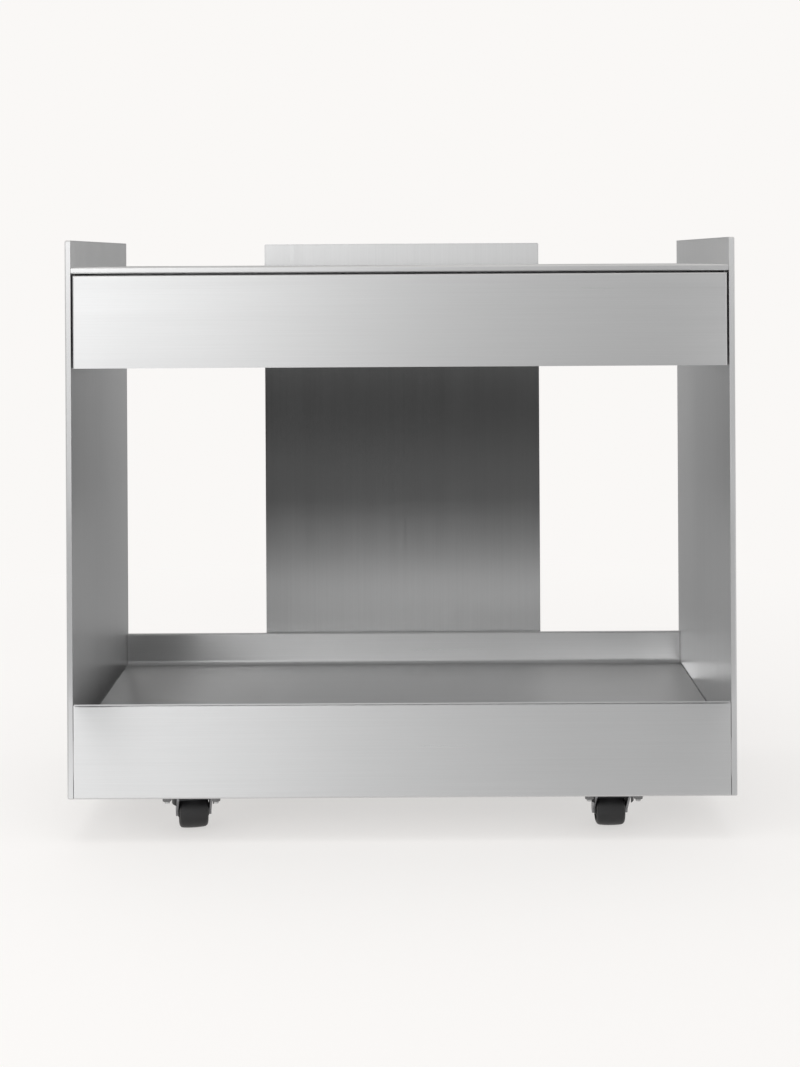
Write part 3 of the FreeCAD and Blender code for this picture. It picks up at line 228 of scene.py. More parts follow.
class TrolleyCastors(bpy.types.PropertyGroup):
    """Plating, castor nuts and wheels."""

    plating: FloatVectorProperty(
        name="Plating colour",
        description="Reflected colour of the drawer runners' zinc plate",
        subtype="COLOR",
        min=0,
        max=1,
        default=(0.50, 0.51, 0.53),
    )
    fork_colour: FloatVectorProperty(
        name="Fork colour",
        description="Reflected colour of the castors' zinc plate",
        subtype="COLOR",
        min=0,
        max=1,
        default=(0.27, 0.27, 0.28),
    )
    # A fork keeps its full colour only between these two distances from the wheel's middle, that is on its legs
    leg_inside: FloatProperty(
        name="Leg inside",
        description="Distance of a fork leg's inner face from the wheel's middle",
        unit="LENGTH",
        default=0.019,
    )
    leg_outside: FloatProperty(
        name="Leg outside",
        description="Distance of a fork leg's outer face from the wheel's middle",
        unit="LENGTH",
        default=0.0216,
    )
    # Painted shade: the fork's crown and skirt are darkened to this share of the legs' colour, for the shade under
    # the tray's apron
    crown_painted_shade: FloatProperty(
        name="Crown brightness",
        description="Brightness of the fork's crown and skirt, as a share of its legs'",
        subtype="FACTOR",
        min=0,
        max=1,
        default=0.13,
    )
    wheel_colour: FloatVectorProperty(
        name="Wheel colour",
        description="Colour of the moulded wheels",
        subtype="COLOR",
        min=0,
        max=1,
        default=(0.014, 0.014, 0.015),
    )
    wheel_radius: FloatProperty(
        name="Wheel radius", description="Radius of the tread", unit="LENGTH", default=0.021
    )
    wheel_width: FloatProperty(
        name="Wheel width", description="Width over the rims", unit="LENGTH", default=0.035
    )
    hub_width: FloatProperty(
        name="Hub width", description="Width over the hub bosses", unit="LENGTH", default=0.0374
    )
    hub_radius: FloatProperty(
        name="Hub radius", description="Radius of the hub bosses", unit="LENGTH", default=0.008
    )
    bore_radius: FloatProperty(
        name="Bore radius", description="Radius of the axle bore", unit="LENGTH", default=0.00305
    )
    rim_depth: FloatProperty(
        name="Rim depth", description="Depth of the rim under the tread", unit="LENGTH", default=0.006
    )
    dish_depth: FloatProperty(
        name="Dish depth", description="How far the wheel's sides are sunk", unit="LENGTH", default=0.002
    )
    edge_radius: FloatProperty(
        name="Tread edge radius", description="Rounding of the tread's edges", unit="LENGTH", default=0.005
    )
    tread_crown: FloatProperty(
        name="Tread crown",
        description="How far the tread falls from its middle to its edges",
        unit="LENGTH",
        default=0.0012,
    )
    nut_corners: FloatProperty(
        name="Nut width", description="Width of a nut over its corners", unit="LENGTH", default=0.0115
    )
    nut_height: FloatProperty(
        name="Nut height", description="Height of a nut", unit="LENGTH", default=0.005
    )
    nut_bore: FloatProperty(
        name="Nut bore", description="Radius of a nut's bore", unit="LENGTH", default=0.00308
    )
    nut_colour: FloatVectorProperty(
        name="Nut colour",
        description="Reflected colour of the nuts under the castor plates",
        subtype="COLOR",
        min=0,
        max=1,
        default=(0.18, 0.18, 0.18),
    )
    nut_chamfer: FloatProperty(
        name="Nut chamfer", description="Height of a nut's chamfers", unit="LENGTH", default=0.0007
    )
    nut_lead: FloatProperty(
        name="Nut lead", description="Chamfer at the mouths of a nut's bore", unit="LENGTH", default=0.0004
    )
    nut_edge: FloatProperty(
        name="Nut edge distance",
        description="Distance from a nut's middle to the castor plate's edges",
        unit="LENGTH",
        default=0.0085,
    )


class TrolleyStudio(bpy.types.PropertyGroup):
    """Floor, sky and camera."""

    floor_colour: FloatVectorProperty(
        name="Floor colour",
        description="Colour of the floor and of the background",
        subtype="COLOR",
        min=0,
        max=1,
        default=(0.955, 0.938, 0.922),
    )
    sky_level: FloatProperty(
        name="Sky level", description="Even light from all round", min=0, default=0.7
    )
    shadow_reach: FloatProperty(
        name="Shadow reach",
        description="Distance from the middle up to which the floor shows the full shadow",
        unit="LENGTH",
        default=0.55,
    )
    even_reach: FloatProperty(
        name="Even reach",
        description="Distance from which the floor is as even as the background",
        unit="LENGTH",
        default=1.7,
    )
    shadow_fill: FloatProperty(
        name="Shadow fill",
        description="Share of the even colour where the shadow is full",
        subtype="FACTOR",
        min=0,
        max=1,
        default=0.6,
    )
    focal_length: FloatProperty(
        name="Focal length", description="Camera focal length in millimetres", default=76.49
    )
    camera_place: FloatVectorProperty(
        name="Camera place",
        description="Where the camera stands",
        subtype="TRANSLATION",
        default=(0.0138, -2.228, 0.695),
    )
    camera_roll: FloatProperty(
        name="Camera roll",
        description="Turn of the camera about its line of sight",
        unit="ROTATION",
        default=math.radians(-0.32),
    )
    camera_shift: FloatVectorProperty(
        name="Camera shift",
        description="Lens shift across and up, in widths of the picture",
        size=2,
        default=(-0.0139, -0.3425),
    )


class TrolleySettings(bpy.types.PropertyGroup):
    """All of the trolley's settings."""

    steel: PointerProperty(type=TrolleySteel)
    castors: PointerProperty(type=TrolleyCastors)
    studio: PointerProperty(type=TrolleyStudio)


# Node trees


def add(tree, kind, settings=None, inputs=None):
    """Adds a node, sets its properties, and links or sets its inputs."""
    node = tree.nodes.new(kind)
    for name, value in (settings or {}).items():
        setattr(node, name, value)
    for name, value in (inputs or {}).items():
        if isinstance(value, bpy.types.NodeSocket):
            tree.links.new(value, node.inputs[name])
        else:
            node.inputs[name].default_value = value
    return node


def sums(tree, operation, *values):
    """A Math node of one operation on numbers or sockets; returns its output."""
    return add(tree, "ShaderNodeMath", {"operation": operation}, dict(enumerate(values))).outputs[0]


def new_group(name, numbers):
    """An empty node group that takes a vector, a colour and named numbers, and gives a finish.

    Returns its tree, the sockets that it takes and those that it gives.
    """
    tree = bpy.data.node_groups.new(name, "ShaderNodeTree")
    takes = [("Vector", "NodeSocketVector"), ("Colour", "NodeSocketColor")]
    takes += [(socket, "NodeSocketFloat") for socket in numbers]
    gives = [("Colour", "NodeSocketColor"), ("Roughness", "NodeSocketFloat"), ("Height", "NodeSocketFloat")]
    for way, sockets in (("INPUT", takes), ("OUTPUT", gives)):
        for socket, kind in sockets:
            tree.interface.new_socket(socket, in_out=way, socket_type=kind)
    return tree, add(tree, "NodeGroupInput").outputs, add(tree, "NodeGroupOutput").inputs


def stretched_noise(tree, vector, length, width, detail=2.0):
    """Noise drawn out along X: its cells are length long and width wide; returns it about zero."""
    along, across = sums(tree, "DIVIDE", 1.0, length), sums(tree, "DIVIDE", 1.0, width)
    scale = add(tree, "ShaderNodeCombineXYZ", inputs={"X": along, "Y": across, "Z": across}).outputs[0]
    place = add(tree, "ShaderNodeVectorMath", {"operation": "MULTIPLY"}, {0: vector, 1: scale}).outputs[0]
    noise = add(tree, "ShaderNodeTexNoise", inputs={"Vector": place, "Scale": 1.0, "Detail": detail})
    return sums(tree, "SUBTRACT", noise.outputs["Fac"], 0.5)


def brush_grain():
    """Group: fine, medium and broad brush lines along X, as tone, roughness and height."""
    name = "brush_grain"
    if name in bpy.data.node_groups:
        return bpy.data.node_groups[name]
    tree, take, give = new_group(name, ("Line Width", "Line Length", "Contrast", "Roughness"))
    vector, width, length = take["Vector"], take["Line Width"], take["Line Length"]
    fine = stretched_noise(tree, vector, length, width)
    longer, wider = sums(tree, "MULTIPLY", length, MEDIUM_LENGTH), sums(tree, "MULTIPLY", width, MEDIUM_WIDTH)
    medium = stretched_noise(tree, vector, longer, wider)
    longer, wider = sums(tree, "MULTIPLY", length, BROAD_LENGTH), sums(tree, "MULTIPLY", width, BROAD_WIDTH)
    broad = stretched_noise(tree, vector, longer, wider)
    lines = sums(tree, "MULTIPLY_ADD", medium, MEDIUM_SHARE, fine)
    lines = sums(tree, "MULTIPLY_ADD", broad, BROAD_SHARE, lines)
    tone = sums(tree, "MULTIPLY_ADD", lines, take["Contrast"], 1.0)
    coloured = add(tree, "ShaderNodeVectorMath", {"operation": "SCALE"}, {0: take["Colour"], "Scale": tone})
    rough = sums(tree, "MULTIPLY_ADD", medium, MEDIUM_ROUGHNESS, take["Roughness"])
    rough = sums(tree, "MULTIPLY_ADD", broad, BROAD_ROUGHNESS, rough)
    tree.links.new(coloured.outputs[0], give["Colour"])
    tree.links.new(rough, give["Roughness"])
    tree.links.new(sums(tree, "MULTIPLY_ADD", medium, MEDIUM_HEIGHT, fine), give["Height"])
    return tree


def speckle():
    """Group: even-sided mottling in two sizes, as tone, roughness and height, for plating and mouldings."""
    name = "speckle"
    if name in bpy.data.node_groups:
        return bpy.data.node_groups[name]
    tree, take, give = new_group(name, ("Size", "Contrast", "Roughness", "Rough Spread"))
    fine = stretched_noise(tree, take["Vector"], take["Size"], take["Size"], detail=3.0)
    large_size = sums(tree, "MULTIPLY", take["Size"], LARGE_CELLS)
    large = stretched_noise(tree, take["Vector"], large_size, large_size)
    mottle = sums(tree, "ADD", fine, large)
    tone = sums(tree, "MULTIPLY_ADD", mottle, take["Contrast"], 1.0)
    coloured = add(tree, "ShaderNodeVectorMath", {"operation": "SCALE"}, {0: take["Colour"], "Scale": tone})
    tree.links.new(coloured.outputs[0], give["Colour"])
    rough = sums(tree, "MULTIPLY_ADD", mottle, take["Rough Spread"], take["Roughness"])
    tree.links.new(rough, give["Roughness"])
    tree.links.new(fine, give["Height"])
    return tree


def empty_material(name):
    """A material without nodes; returns it with its tree."""
    material = bpy.data.materials.new(name)
    material.use_nodes = True
    material.node_tree.nodes.clear()
    return material, material.node_tree


def grouped_finish(name, group, turn, height, **values):
    """A material whose colour, roughness and bump come from one group on turned Object coordinates."""
    material, tree = empty_material(name)
    shader = add(tree, "ShaderNodeBsdfPrincipled")
    add(tree, "ShaderNodeOutputMaterial", inputs={"Surface": shader.outputs[0]})
    place = add(tree, "ShaderNodeTexCoord").outputs["Object"]
    turns = {"Vector": place, "Rotation": turn, "Location": GRAIN_START}
    turned = add(tree, "ShaderNodeMapping", inputs=turns)
    inputs = {"Vector": turned.outputs[0]}
    inputs.update({key.replace("_", " ").title(): value for key, value in values.items()})
    surface = add(tree, "ShaderNodeGroup", {"node_tree": group}, inputs)
    tree.links.new(surface.outputs["Colour"], shader.inputs["Base Color"])
    tree.links.new(surface.outputs["Roughness"], shader.inputs["Roughness"])
    heights = {"Height": surface.outputs["Height"], "Strength": 1.0, "Distance": height}
    bump = add(tree, "ShaderNodeBump", inputs=heights)
    tree.links.new(bump.outputs[0], shader.inputs["Normal"])
    return material, tree, shader


def brushed_steel(name, steel, turn, round_axis, stretch):
    """Brushed steel: grain as turned, highlights drawn out across it by a tangent that circles round_axis."""
    material, tree, shader = grouped_finish(
        name,
        brush_grain(),
        turn,
        steel.line_depth,
        colour=(*steel.colour, 1.0),
        line_width=steel.line_width,
        line_length=steel.line_length,
        contrast=steel.contrast,
        roughness=steel.roughness,
    )
    shader.inputs["Metallic"].default_value = 1.0
    shader.inputs["Anisotropic"].default_value = stretch
    across = add(tree, "ShaderNodeTangent", {"direction_type": "RADIAL", "axis": round_axis})
    tree.links.new(across.outputs[0], shader.inputs["Tangent"])
    return material


def speckled(name, colour, size, contrast, roughness, spread, height, metallic=1.0):
    """A plated, rolled or moulded finish with even-sided mottling."""
    material, _, shader = grouped_finish(
        name,
        speckle(),
        ALONG_X,
        height,
        colour=(*colour, 1.0),
        size=size,
        contrast=contrast,
        roughness=roughness,
        rough_spread=spread,
    )
    shader.inputs["Metallic"].default_value = metallic
    return material


def paint_shade_outside_band(material, middle, across, low, high, share, soft=0.0004):
    """Paints shade: keeps a finish's colour between two distances from a plane, and scales it to a share
    elsewhere.
    """
    tree = material.node_tree
    group = next(node for node in tree.nodes if node.type == "GROUP")
    place = next(node for node in tree.nodes if node.type == "TEX_COORD").outputs["Object"]
    offset = add(tree, "ShaderNodeVectorMath", {"operation": "SUBTRACT"}, {0: place, 1: middle})
    along = {0: offset.outputs[0], 1: across}
    side = add(tree, "ShaderNodeVectorMath", {"operation": "DOT_PRODUCT"}, along)
    distance = sums(tree, "ABSOLUTE", side.outputs["Value"])
    rise = {"From Min": low - soft, "From Max": low, "To Min": share, "To Max": 1.0}
    fall = {"From Min": high, "From Max": high + soft, "To Min": 1.0, "To Max": share}
    inner = add(tree, "ShaderNodeMapRange", inputs={"Value": distance, **rise}).outputs[0]
    outer = add(tree, "ShaderNodeMapRange", inputs={"Value": distance, **fall}).outputs[0]
    shade = sums(tree, "MINIMUM", inner, outer)
    colour = tuple(group.inputs["Colour"].default_value)[:3]
    shaded = add(tree, "ShaderNodeVectorMath", {"operation": "SCALE"}, {0: colour, "Scale": shade})
    tree.links.new(shaded.outputs[0], group.inputs["Colour"])


def paint(names, material):
    """Gives CAD nodes a material in all of their slots."""
    for name in names:
        mesh = frame["nodes"][name].data
        mesh.materials.clear()
        mesh.materials.append(material)


# Surfaces worked out on grids


def rounded_profile(corners, radii, steps):
    """A closed profile with each corner replaced by an arc.

    For a corner P between unit directions a and b to its neighbours, with the angle w between them, the arc
    of radius r starts r/tan(w/2) along a. Its centre lies r/sin(w/2) from P along a + b, and the arc's points
    are found by turning from one tangent point to the other about that centre.
    """
    corner = np.asarray(corners, float)
    radius = np.asarray(radii, float)[:, None]
    to_last = np.roll(corner, 1, 0) - corner
    to_next = np.roll(corner, -1, 0) - corner
    to_last /= np.linalg.norm(to_last, axis=1, keepdims=True)
    to_next /= np.linalg.norm(to_next, axis=1, keepdims=True)
    half = np.arccos(np.clip((to_last * to_next).sum(1, keepdims=True), -1, 1)) / 2
    middle = to_last + to_next
    middle /= np.linalg.norm(middle, axis=1, keepdims=True)
    centre = corner + middle * radius / np.sin(half)
    first = corner + to_last * radius / np.tan(half) - centre
    last = corner + to_next * radius / np.tan(half) - centre
    start = np.arctan2(first[:, 1], first[:, 0])
    sweep = np.arctan2(last[:, 1], last[:, 0]) - start
    sweep = (sweep + np.pi) % (2 * np.pi) - np.pi
    angle = start[:, None] + sweep[:, None] * np.linspace(0, 1, steps)
    arc = np.stack((np.cos(angle), np.sin(angle)), -1) * radius[:, None]
    return (centre[:, None] + arc).reshape(-1, 2)


def closed_grid_faces(rows, columns):
    """Quads of a grid that closes on itself both ways."""
    index = np.arange(rows * columns).reshape(rows, columns)
    below = np.roll(index, -1, 0)
    quads = np.stack((index, np.roll(index, -1, 1), np.roll(below, -1, 1), below), -1)
    return quads.reshape(-1, 4)


def outward(points, quads):
    """The quads wound so that the closed surface has a positive volume."""
    a, b, c, d = (points[quads[:, k]] for k in range(4))
    volume = (np.cross(a, b) * c).sum() + (np.cross(a, c) * d).sum()
    return quads if volume > 0 else quads[:, ::-1]


def new_piece(name, points, quads, body, material, stands_for, sharp):
    """A piece from points and quads, riding on a body in place of CAD nodes."""
    mesh = bpy.data.meshes.new(name)
    mesh.from_pydata(points.tolist(), [], quads.tolist())
    mesh.shade_smooth()
    mesh.set_sharp_from_angle(angle=math.radians(sharp))
    mesh.materials.append(material)
    piece = bpy.data.objects.new(name, mesh)
    bpy.context.scene.collection.objects.link(piece)
    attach(piece, body)
    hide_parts(*stands_for)


def wheel_surface(castors, centre, axle, turns=96, steps=7):
    """The wheel turned about its axle.

    Its profile (along the axle, away from it) runs round the bore, hub boss, dished side, rim and tread, with
    arcs at the corners. The tread bulges: at a share s of the half width it lies crown * s * s below its
    middle. Each profile point is carried round the axle at even angles.
    """
    tread, rim = castors.wheel_radius, castors.wheel_radius - castors.rim_depth
    half, face = castors.wheel_width / 2, castors.hub_width / 2
    dish, hub, bore = half - castors.dish_depth, castors.hub_radius, castors.bore_radius
    side = [(face, bore), (face, hub), (dish, hub), (dish, rim), (half, rim)]
    side += [(share * half, tread - castors.tread_crown * share**2) for share in TREAD_SHARES]
    soft = WHEEL_ARCS + [castors.edge_radius] + [TREAD_ARC] * (len(TREAD_SHARES) - 1)
    other = [(-across, away) for across, away in reversed(side)]
    profile = rounded_profile(side + other, soft + soft[::-1], steps)
    angle = np.linspace(0, 2 * np.pi, turns, endpoint=False)
    up = np.array((0.0, 0.0, 1.0))
    ahead = np.cross(up, axle)
    round_axle = np.cos(angle)[:, None] * ahead + np.sin(angle)[:, None] * up
    points = centre + profile[:, None, :1] * axle + profile[:, None, 1:] * round_axle[None]
    points = points.reshape(-1, 3)
    return points, outward(points, closed_grid_faces(len(profile), turns))


def nut_surface(castors, places, turns=72, steps=5):
    """Chamfered hexagon nuts hanging under their places.

    The outside is the smaller of two distances from the nut's axis: the hexagon's, apothem / cos(angle to
    the nearest flat), and a cone's, which starts at a share of the apothem on each end face and reaches the
    corners at the chamfer's height. The bore is a plain cylinder with chamfered mouths.
    """
    corner = castors.nut_corners / 2
    apothem = corner * math.cos(math.pi / 6)
    height, bore, lead = castors.nut_height, castors.nut_bore, castors.nut_lead
    angle = np.linspace(0, 2 * np.pi, turns, endpoint=False)
    from_flat = (angle + np.pi / 6) % (np.pi / 3) - np.pi / 6
    hexagon = apothem / np.cos(from_flat)
    rise = np.linspace(0, castors.nut_chamfer, steps)
    cone = np.linspace(apothem * NUT_END, corner, steps)
    outside = np.minimum(hexagon, cone[:, None])
    mouth = np.full((2, turns), bore) + np.array([[0.0], [lead]])
    radius = np.concatenate((mouth, outside, outside[::-1], mouth[::-1]))
    level = np.concatenate(([lead, 0.0], rise, height - rise[::-1], [height, height - lead])) - height
    flat = radius[..., None] * np.stack((np.cos(angle), np.sin(angle)), -1)
    upright = np.broadcast_to(level[:, None, None], (len(level), turns, 1))
    one = np.concatenate((flat, upright), -1).reshape(-1, 3)
    quads = outward(one, closed_grid_faces(len(level), turns))
    points = (places[:, None] + one[None]).reshape(-1, 3)
    first = np.arange(len(places))[:, None, None] * len(one)
    return points, (quads[None] + first).reshape(-1, 4)


# The stage


def stage_object(name, points):
    """Links an open grid of points, rows by columns by three, as part of the stage."""
    rows, columns = points.shape[:2]
    index = np.arange(rows * columns).reshape(rows, columns)
    quads = np.stack((index[:-1, :-1], index[:-1, 1:], index[1:, 1:], index[1:, :-1]), -1).reshape(-1, 4)
    mesh = bpy.data.meshes.new(name)
    mesh.from_pydata(points.reshape(-1, 3).tolist(), [], quads.tolist())
    mesh.shade_smooth()
    item = bpy.data.objects.new(name, mesh)
    bpy.context.scene.collection.objects.link(item)
    return item


def spread(first, second, points):
    """Two coordinates of a square grid of points, each between two ends."""
    return np.meshgrid(np.linspace(*first, points), np.linspace(*second, points))


def level_grid(across, along, height, points=CARD_POINTS):
    """A level grid between ends along X and Y; it faces up where both rise."""
    x, y = spread(across, along, points)
    return np.stack((x, y, np.full_like(x, height)), -1)


def upright_grid(across, depth, upward, points=CARD_POINTS):
    """An upright grid between ends along X and Z; it faces the front where both rise."""
    x, z = spread(across, upward, points)
    return np.stack((x, np.full_like(x, depth), z), -1)


def side_grid(side, along, upward, points=CARD_POINTS):
    """An upright grid between ends along Y and Z; it faces right where both rise."""
    y, z = spread(along, upward, points)
    return np.stack((np.full_like(y, side), y, z), -1)


def seen_directly(tree):
    """1 for camera, glossy and transmission rays, 0 for the others."""
    path = add(tree, "ShaderNodeLightPath").outputs
    seen = sums(tree, "MAXIMUM", path["Is Camera Ray"], path["Is Glossy Ray"])
    return sums(tree, "MAXIMUM", seen, path["Is Transmission Ray"])


def make_floor(studio):
    """A pale floor: partly lit where the trolley's shadow falls, and the background's own colour far off."""
    sides = (-FLOOR_HALF, FLOOR_HALF)
    floor = stage_object("floor", level_grid(sides, sides, 0.0, FLOOR_POINTS))
    material, tree = empty_material("pale_floor")
    colour = (*studio.floor_colour, 1.0)
    lit = add(tree, "ShaderNodeBsdfDiffuse", inputs={"Color": colour}).outputs[0]
    even = add(tree, "ShaderNodeEmission", inputs={"Color": colour, "Strength": 1.0}).outputs[0]
    place = add(tree, "ShaderNodeTexCoord").outputs["Object"]
    distance = add(tree, "ShaderNodeVectorMath", {"operation": "LENGTH"}, {0: place}).outputs["Value"]
    reach = {"From Min": studio.shadow_reach, "From Max": studio.even_reach, "To Min": studio.shadow_fill}
    smooth = {"interpolation_type": "SMOOTHSTEP"}
    far = add(tree, "ShaderNodeMapRange", smooth, {"Value": distance, **reach}).outputs[0]
    share = sums(tree, "MULTIPLY", far, seen_directly(tree))
    mixed = add(tree, "ShaderNodeMixShader", inputs={"Fac": share, 1: lit, 2: even})
    add(tree, "ShaderNodeOutputMaterial", inputs={"Surface": mixed.outputs[0]})
    floor.data.materials.append(material)


def make_world(scene, studio):
    """Even light all round, and the pale background where it is seen directly or mirrored."""
    world = bpy.data.worlds.new("studio")
    scene.world = world
    world.use_nodes = True
    tree = world.node_tree
    tree.nodes.clear()
    white, pale = (1.0, 1.0, 1.0, 1.0), (*studio.floor_colour, 1.0)
    sky = {"Color": white, "Strength": studio.sky_level}
    light = add(tree, "ShaderNodeBackground", inputs=sky).outputs[0]
    shown = add(tree, "ShaderNodeBackground", inputs={"Color": pale, "Strength": 1.0}).outputs[0]
    mixed = add(tree, "ShaderNodeMixShader", inputs={"Fac": seen_directly(tree), 1: light, 2: shown})
    add(tree, "ShaderNodeOutputWorld", inputs={"Surface": mixed.outputs[0]})


def make_lamp(name, place, size, power):
    """A soft rectangular lamp facing the trolley, which polished surfaces do not mirror."""
    lamp = bpy.data.lights.new(name, "AREA")
    lamp.shape = "RECTANGLE"
    lamp.size, lamp.size_y = size
    lamp.energy = power
    item = bpy.data.objects.new(name, lamp)
    bpy.context.scene.collection.objects.link(item)
    item.location = place
    item.rotation_euler = (Vector(LAMP_TARGET) - Vector(place)).to_track_quat("-Z", "Y").to_euler()
    item.visible_glossy = False


def ramp_along(tree, part, stops):
    """A grey ramp along one coordinate: stops are (where, brightness), in rising order."""
    low, high = stops[0][0], stops[-1][0]
    share = add(tree, "ShaderNodeMapRange", inputs={"Value": part, "From Min": low, "From Max": high})
    ramp = add(tree, "ShaderNodeValToRGB", inputs={"Fac": share.outputs[0]})
    elements = ramp.color_ramp.elements
    elements.remove(elements[1])
    for index, (where, level) in enumerate(stops):
        position = (where - low) / (high - low)
        element = elements[0] if index == 0 else elements.new(position)
        element.position = position
        element.color = (level, level, level, 1.0)
    return ramp.outputs[0]


def glow(name, one_sided):
    """A material that shines, for painted reflections and painted shade: its brightness is the product of its
    card's ramps, each along an axis.
    """
    material, tree = empty_material(name)
    place = add(tree, "ShaderNodeTexCoord").outputs["Object"]
    parts = add(tree, "ShaderNodeSeparateXYZ", inputs={0: place}).outputs
    level = 1.0
    for axis, stops in CARD_LEVELS[name].items():
        level = sums(tree, "MULTIPLY", level, ramp_along(tree, parts[axis], stops))
    white = (1.0, 1.0, 1.0, 1.0)
    light = add(tree, "ShaderNodeEmission", inputs={"Color": white, "Strength": level}).outputs[0]
    if one_sided:
        clear = add(tree, "ShaderNodeBsdfTransparent").outputs[0]
        behind = add(tree, "ShaderNodeNewGeometry").outputs["Backfacing"]
        light = add(tree, "ShaderNodeMixShader", inputs={"Fac": behind, 1: light, 2: clear}).outputs[0]
    add(tree, "ShaderNodeOutputMaterial", inputs={"Surface": light})
    return material


def make_card(name, points, one_sided=True, material=None):
    """A card that only polished surfaces see, with a glow of its own unless one is given: a painted reflection, or
    painted shade where it is dark.
    """
    card = stage_object(name, points)
    for rays in ("camera", "diffuse", "transmission", "volume_scatter", "shadow"):
        setattr(card, f"visible_{rays}", False)
    card.data.materials.append(material or glow(name, one_sided))


def make_room_cards():
    """Glowing cards round the trolley, which only polished surfaces see, as painted reflections of a room: a
    curved wall in front, a wall behind, and the floor before each of them.
    """
    turns, levels = np.linspace(-WALL_TURN, WALL_TURN, WALL_COLUMNS), np.linspace(0, WALL_HEIGHT, WALL_ROWS)
    turn, level = np.meshgrid(turns, levels)
    wall = np.stack((WALL_RADIUS * np.sin(turn), -WALL_RADIUS * np.cos(turn), level), -1)
    make_card("front_card", wall, one_sided=False)
    floor_side, floor_front, floor_back = 2.5, -3.4, -0.25
    across, along = (-floor_side, floor_side), (floor_front, floor_back)
    make_card("floor_card", level_grid(across, along, FLOOR_CARD_LEVEL, FLOOR_CARD_POINTS), one_sided=False)
    rear_floor_side, rear_side, rear_front, rear, rear_height = 0.6, 0.55, 0.22, 0.9, 1.4
    floor = level_grid((-rear_floor_side, rear_floor_side), (rear_front, rear), FLOOR_CARD_LEVEL)
    make_card("rear_floor_card", floor, one_sided=False)
    wall = upright_grid((-rear_side, rear_side), rear, (0.0, rear_height))
    make_card("rear_card", wall, one_sided=False)


def make_bay_cards():
    """Dark glowing cards at the bay between tray and drawer, which only polished surfaces see: painted shade, as
    slats and cheeks before it, and on its mouth, ceiling and back.
    """
    tray_low, tray_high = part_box("lower_tray")
    back_low, back_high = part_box("back_panel_shell")
    side, front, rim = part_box("right_panel_inner_skin")[0].x, tray_low.y, tray_high.z
    inside = (-side + CARD_END_GAP, side - CARD_END_GAP)
    card_gap, drawer_gap = 0.001, 0.0109

    # Painted shade: dark slats, and cheeks by the side panels, before the bay's mouth
    slat_depth, slat_pitch, slats_end = 0.3, 0.02, 0.35
    ahead = (front - slat_depth, front)
    slat_glow = glow("louvre", one_sided=True)
    for index, level in enumerate(np.arange(rim + card_gap, slats_end, slat_pitch)):
        make_card(f"louvre_{index:02d}", level_grid(inside, ahead, level), material=slat_glow)
    cheek_height = (0.17, 0.42)
    make_card("left_cheek", side_grid(-side, ahead, cheek_height), material=slat_glow)
    make_card("right_cheek", side_grid(side, ahead[::-1], cheek_height), material=slat_glow)

    # Painted shade at the bay's mouth, under the drawer and on the back panel
    mouth_start, ceiling_depth, back_end = 0.33, (0.12, -0.19), 0.34
    under_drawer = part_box("drawer_front")[0].z - drawer_gap
    mouth = upright_grid(inside, front + card_gap, (mouth_start, under_drawer))
    make_card("bay_card", mouth, one_sided=False)
    make_card("ceiling_card", level_grid(inside, ceiling_depth, under_drawer))
    panel = (back_low.x + card_gap, back_high.x - card_gap)
    back_height = (rim + 2 * card_gap, back_end)
    make_card("back_card", upright_grid(panel, back_low.y - card_gap / 2, back_height))


def make_tray_cards():
    """Glowing cards in the lower tray, which only polished surfaces see: on the apron's inner face, on the floor,
    in its left end and over the rim; they paint its reflections, and the dark one in its left end paints shade in
    that corner.
    """
    low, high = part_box("lower_tray")
    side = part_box("right_panel_inner_skin")[0].x
    floor = next(mount for mount in frame["record"]["mounts"] if mount["name"] == "tray_floor")["pos_m"][2]
    apron_depth, apron_floor_gap, apron_rim_gap = 0.0068, 0.004, 0.002
    apron_width = (side - CARD_END_GAP, -side + CARD_END_GAP)
    apron_height = (floor + apron_floor_gap, high.z - apron_rim_gap)
    make_card("apron_card", upright_grid(apron_width, low.y + apron_depth, apron_height))

    floor_gap, left_gap, corner_end, right_gap = 0.0005, 0.0012, -0.31, 0.002
    front_gap, wall_gap, tray_card_depth = 0.01, 0.011, 0.092
    rear, level = high.y - wall_gap, floor + floor_gap
    base = level_grid((corner_end, side - right_gap), (rear - tray_card_depth, rear), level)
    make_card("tray_card", base)
    # Painted shade: a dark card along the tray's left end
    corner = level_grid((-side + left_gap, corner_end), (low.y + front_gap, rear), level)
    make_card("corner_card", corner)
    rim_gap, rim_depth = 0.0015, 0.016
    make_card("rim_card", level_grid((-side, side), (low.y + rim_depth, low.y), high.z + rim_gap))


def make_camera(scene, studio):
    """A level camera facing the back, rolled and shifted as in the settings."""
    camera = bpy.data.cameras.new("camera")
    camera.sensor_fit = "HORIZONTAL"
    camera.sensor_width = SENSOR_WIDTH
    camera.lens = studio.focal_length
    camera.shift_x, camera.shift_y = studio.camera_shift
    item = bpy.data.objects.new("camera", camera)
    scene.collection.objects.link(item)
    level = Matrix.Rotation(math.pi / 2, 4, "X") @ Matrix.Rotation(studio.camera_roll, 4, "Z")
    item.matrix_world = Matrix.Translation(studio.camera_place) @ level
    scene.camera = item


# Operators: one for each piece or group of like pieces, and one for the stage


class TROLLEY_OT_brushed_sheets(bpy.types.Operator):
    """Finish the top, the drawer front and the lower tray, brushed from side to side"""

    bl_idname = "trolley.brushed_sheets"
    bl_label = "Top, drawer front and tray"

    def execute(self, context):
        steel = context.scene.trolley.steel
        finish = brushed_steel("steel_sideways", steel, ALONG_X, "X", steel.stretch)
        paint(["top_plate", "drawer_front", "lower_tray"], finish)
        return {"FINISHED"}


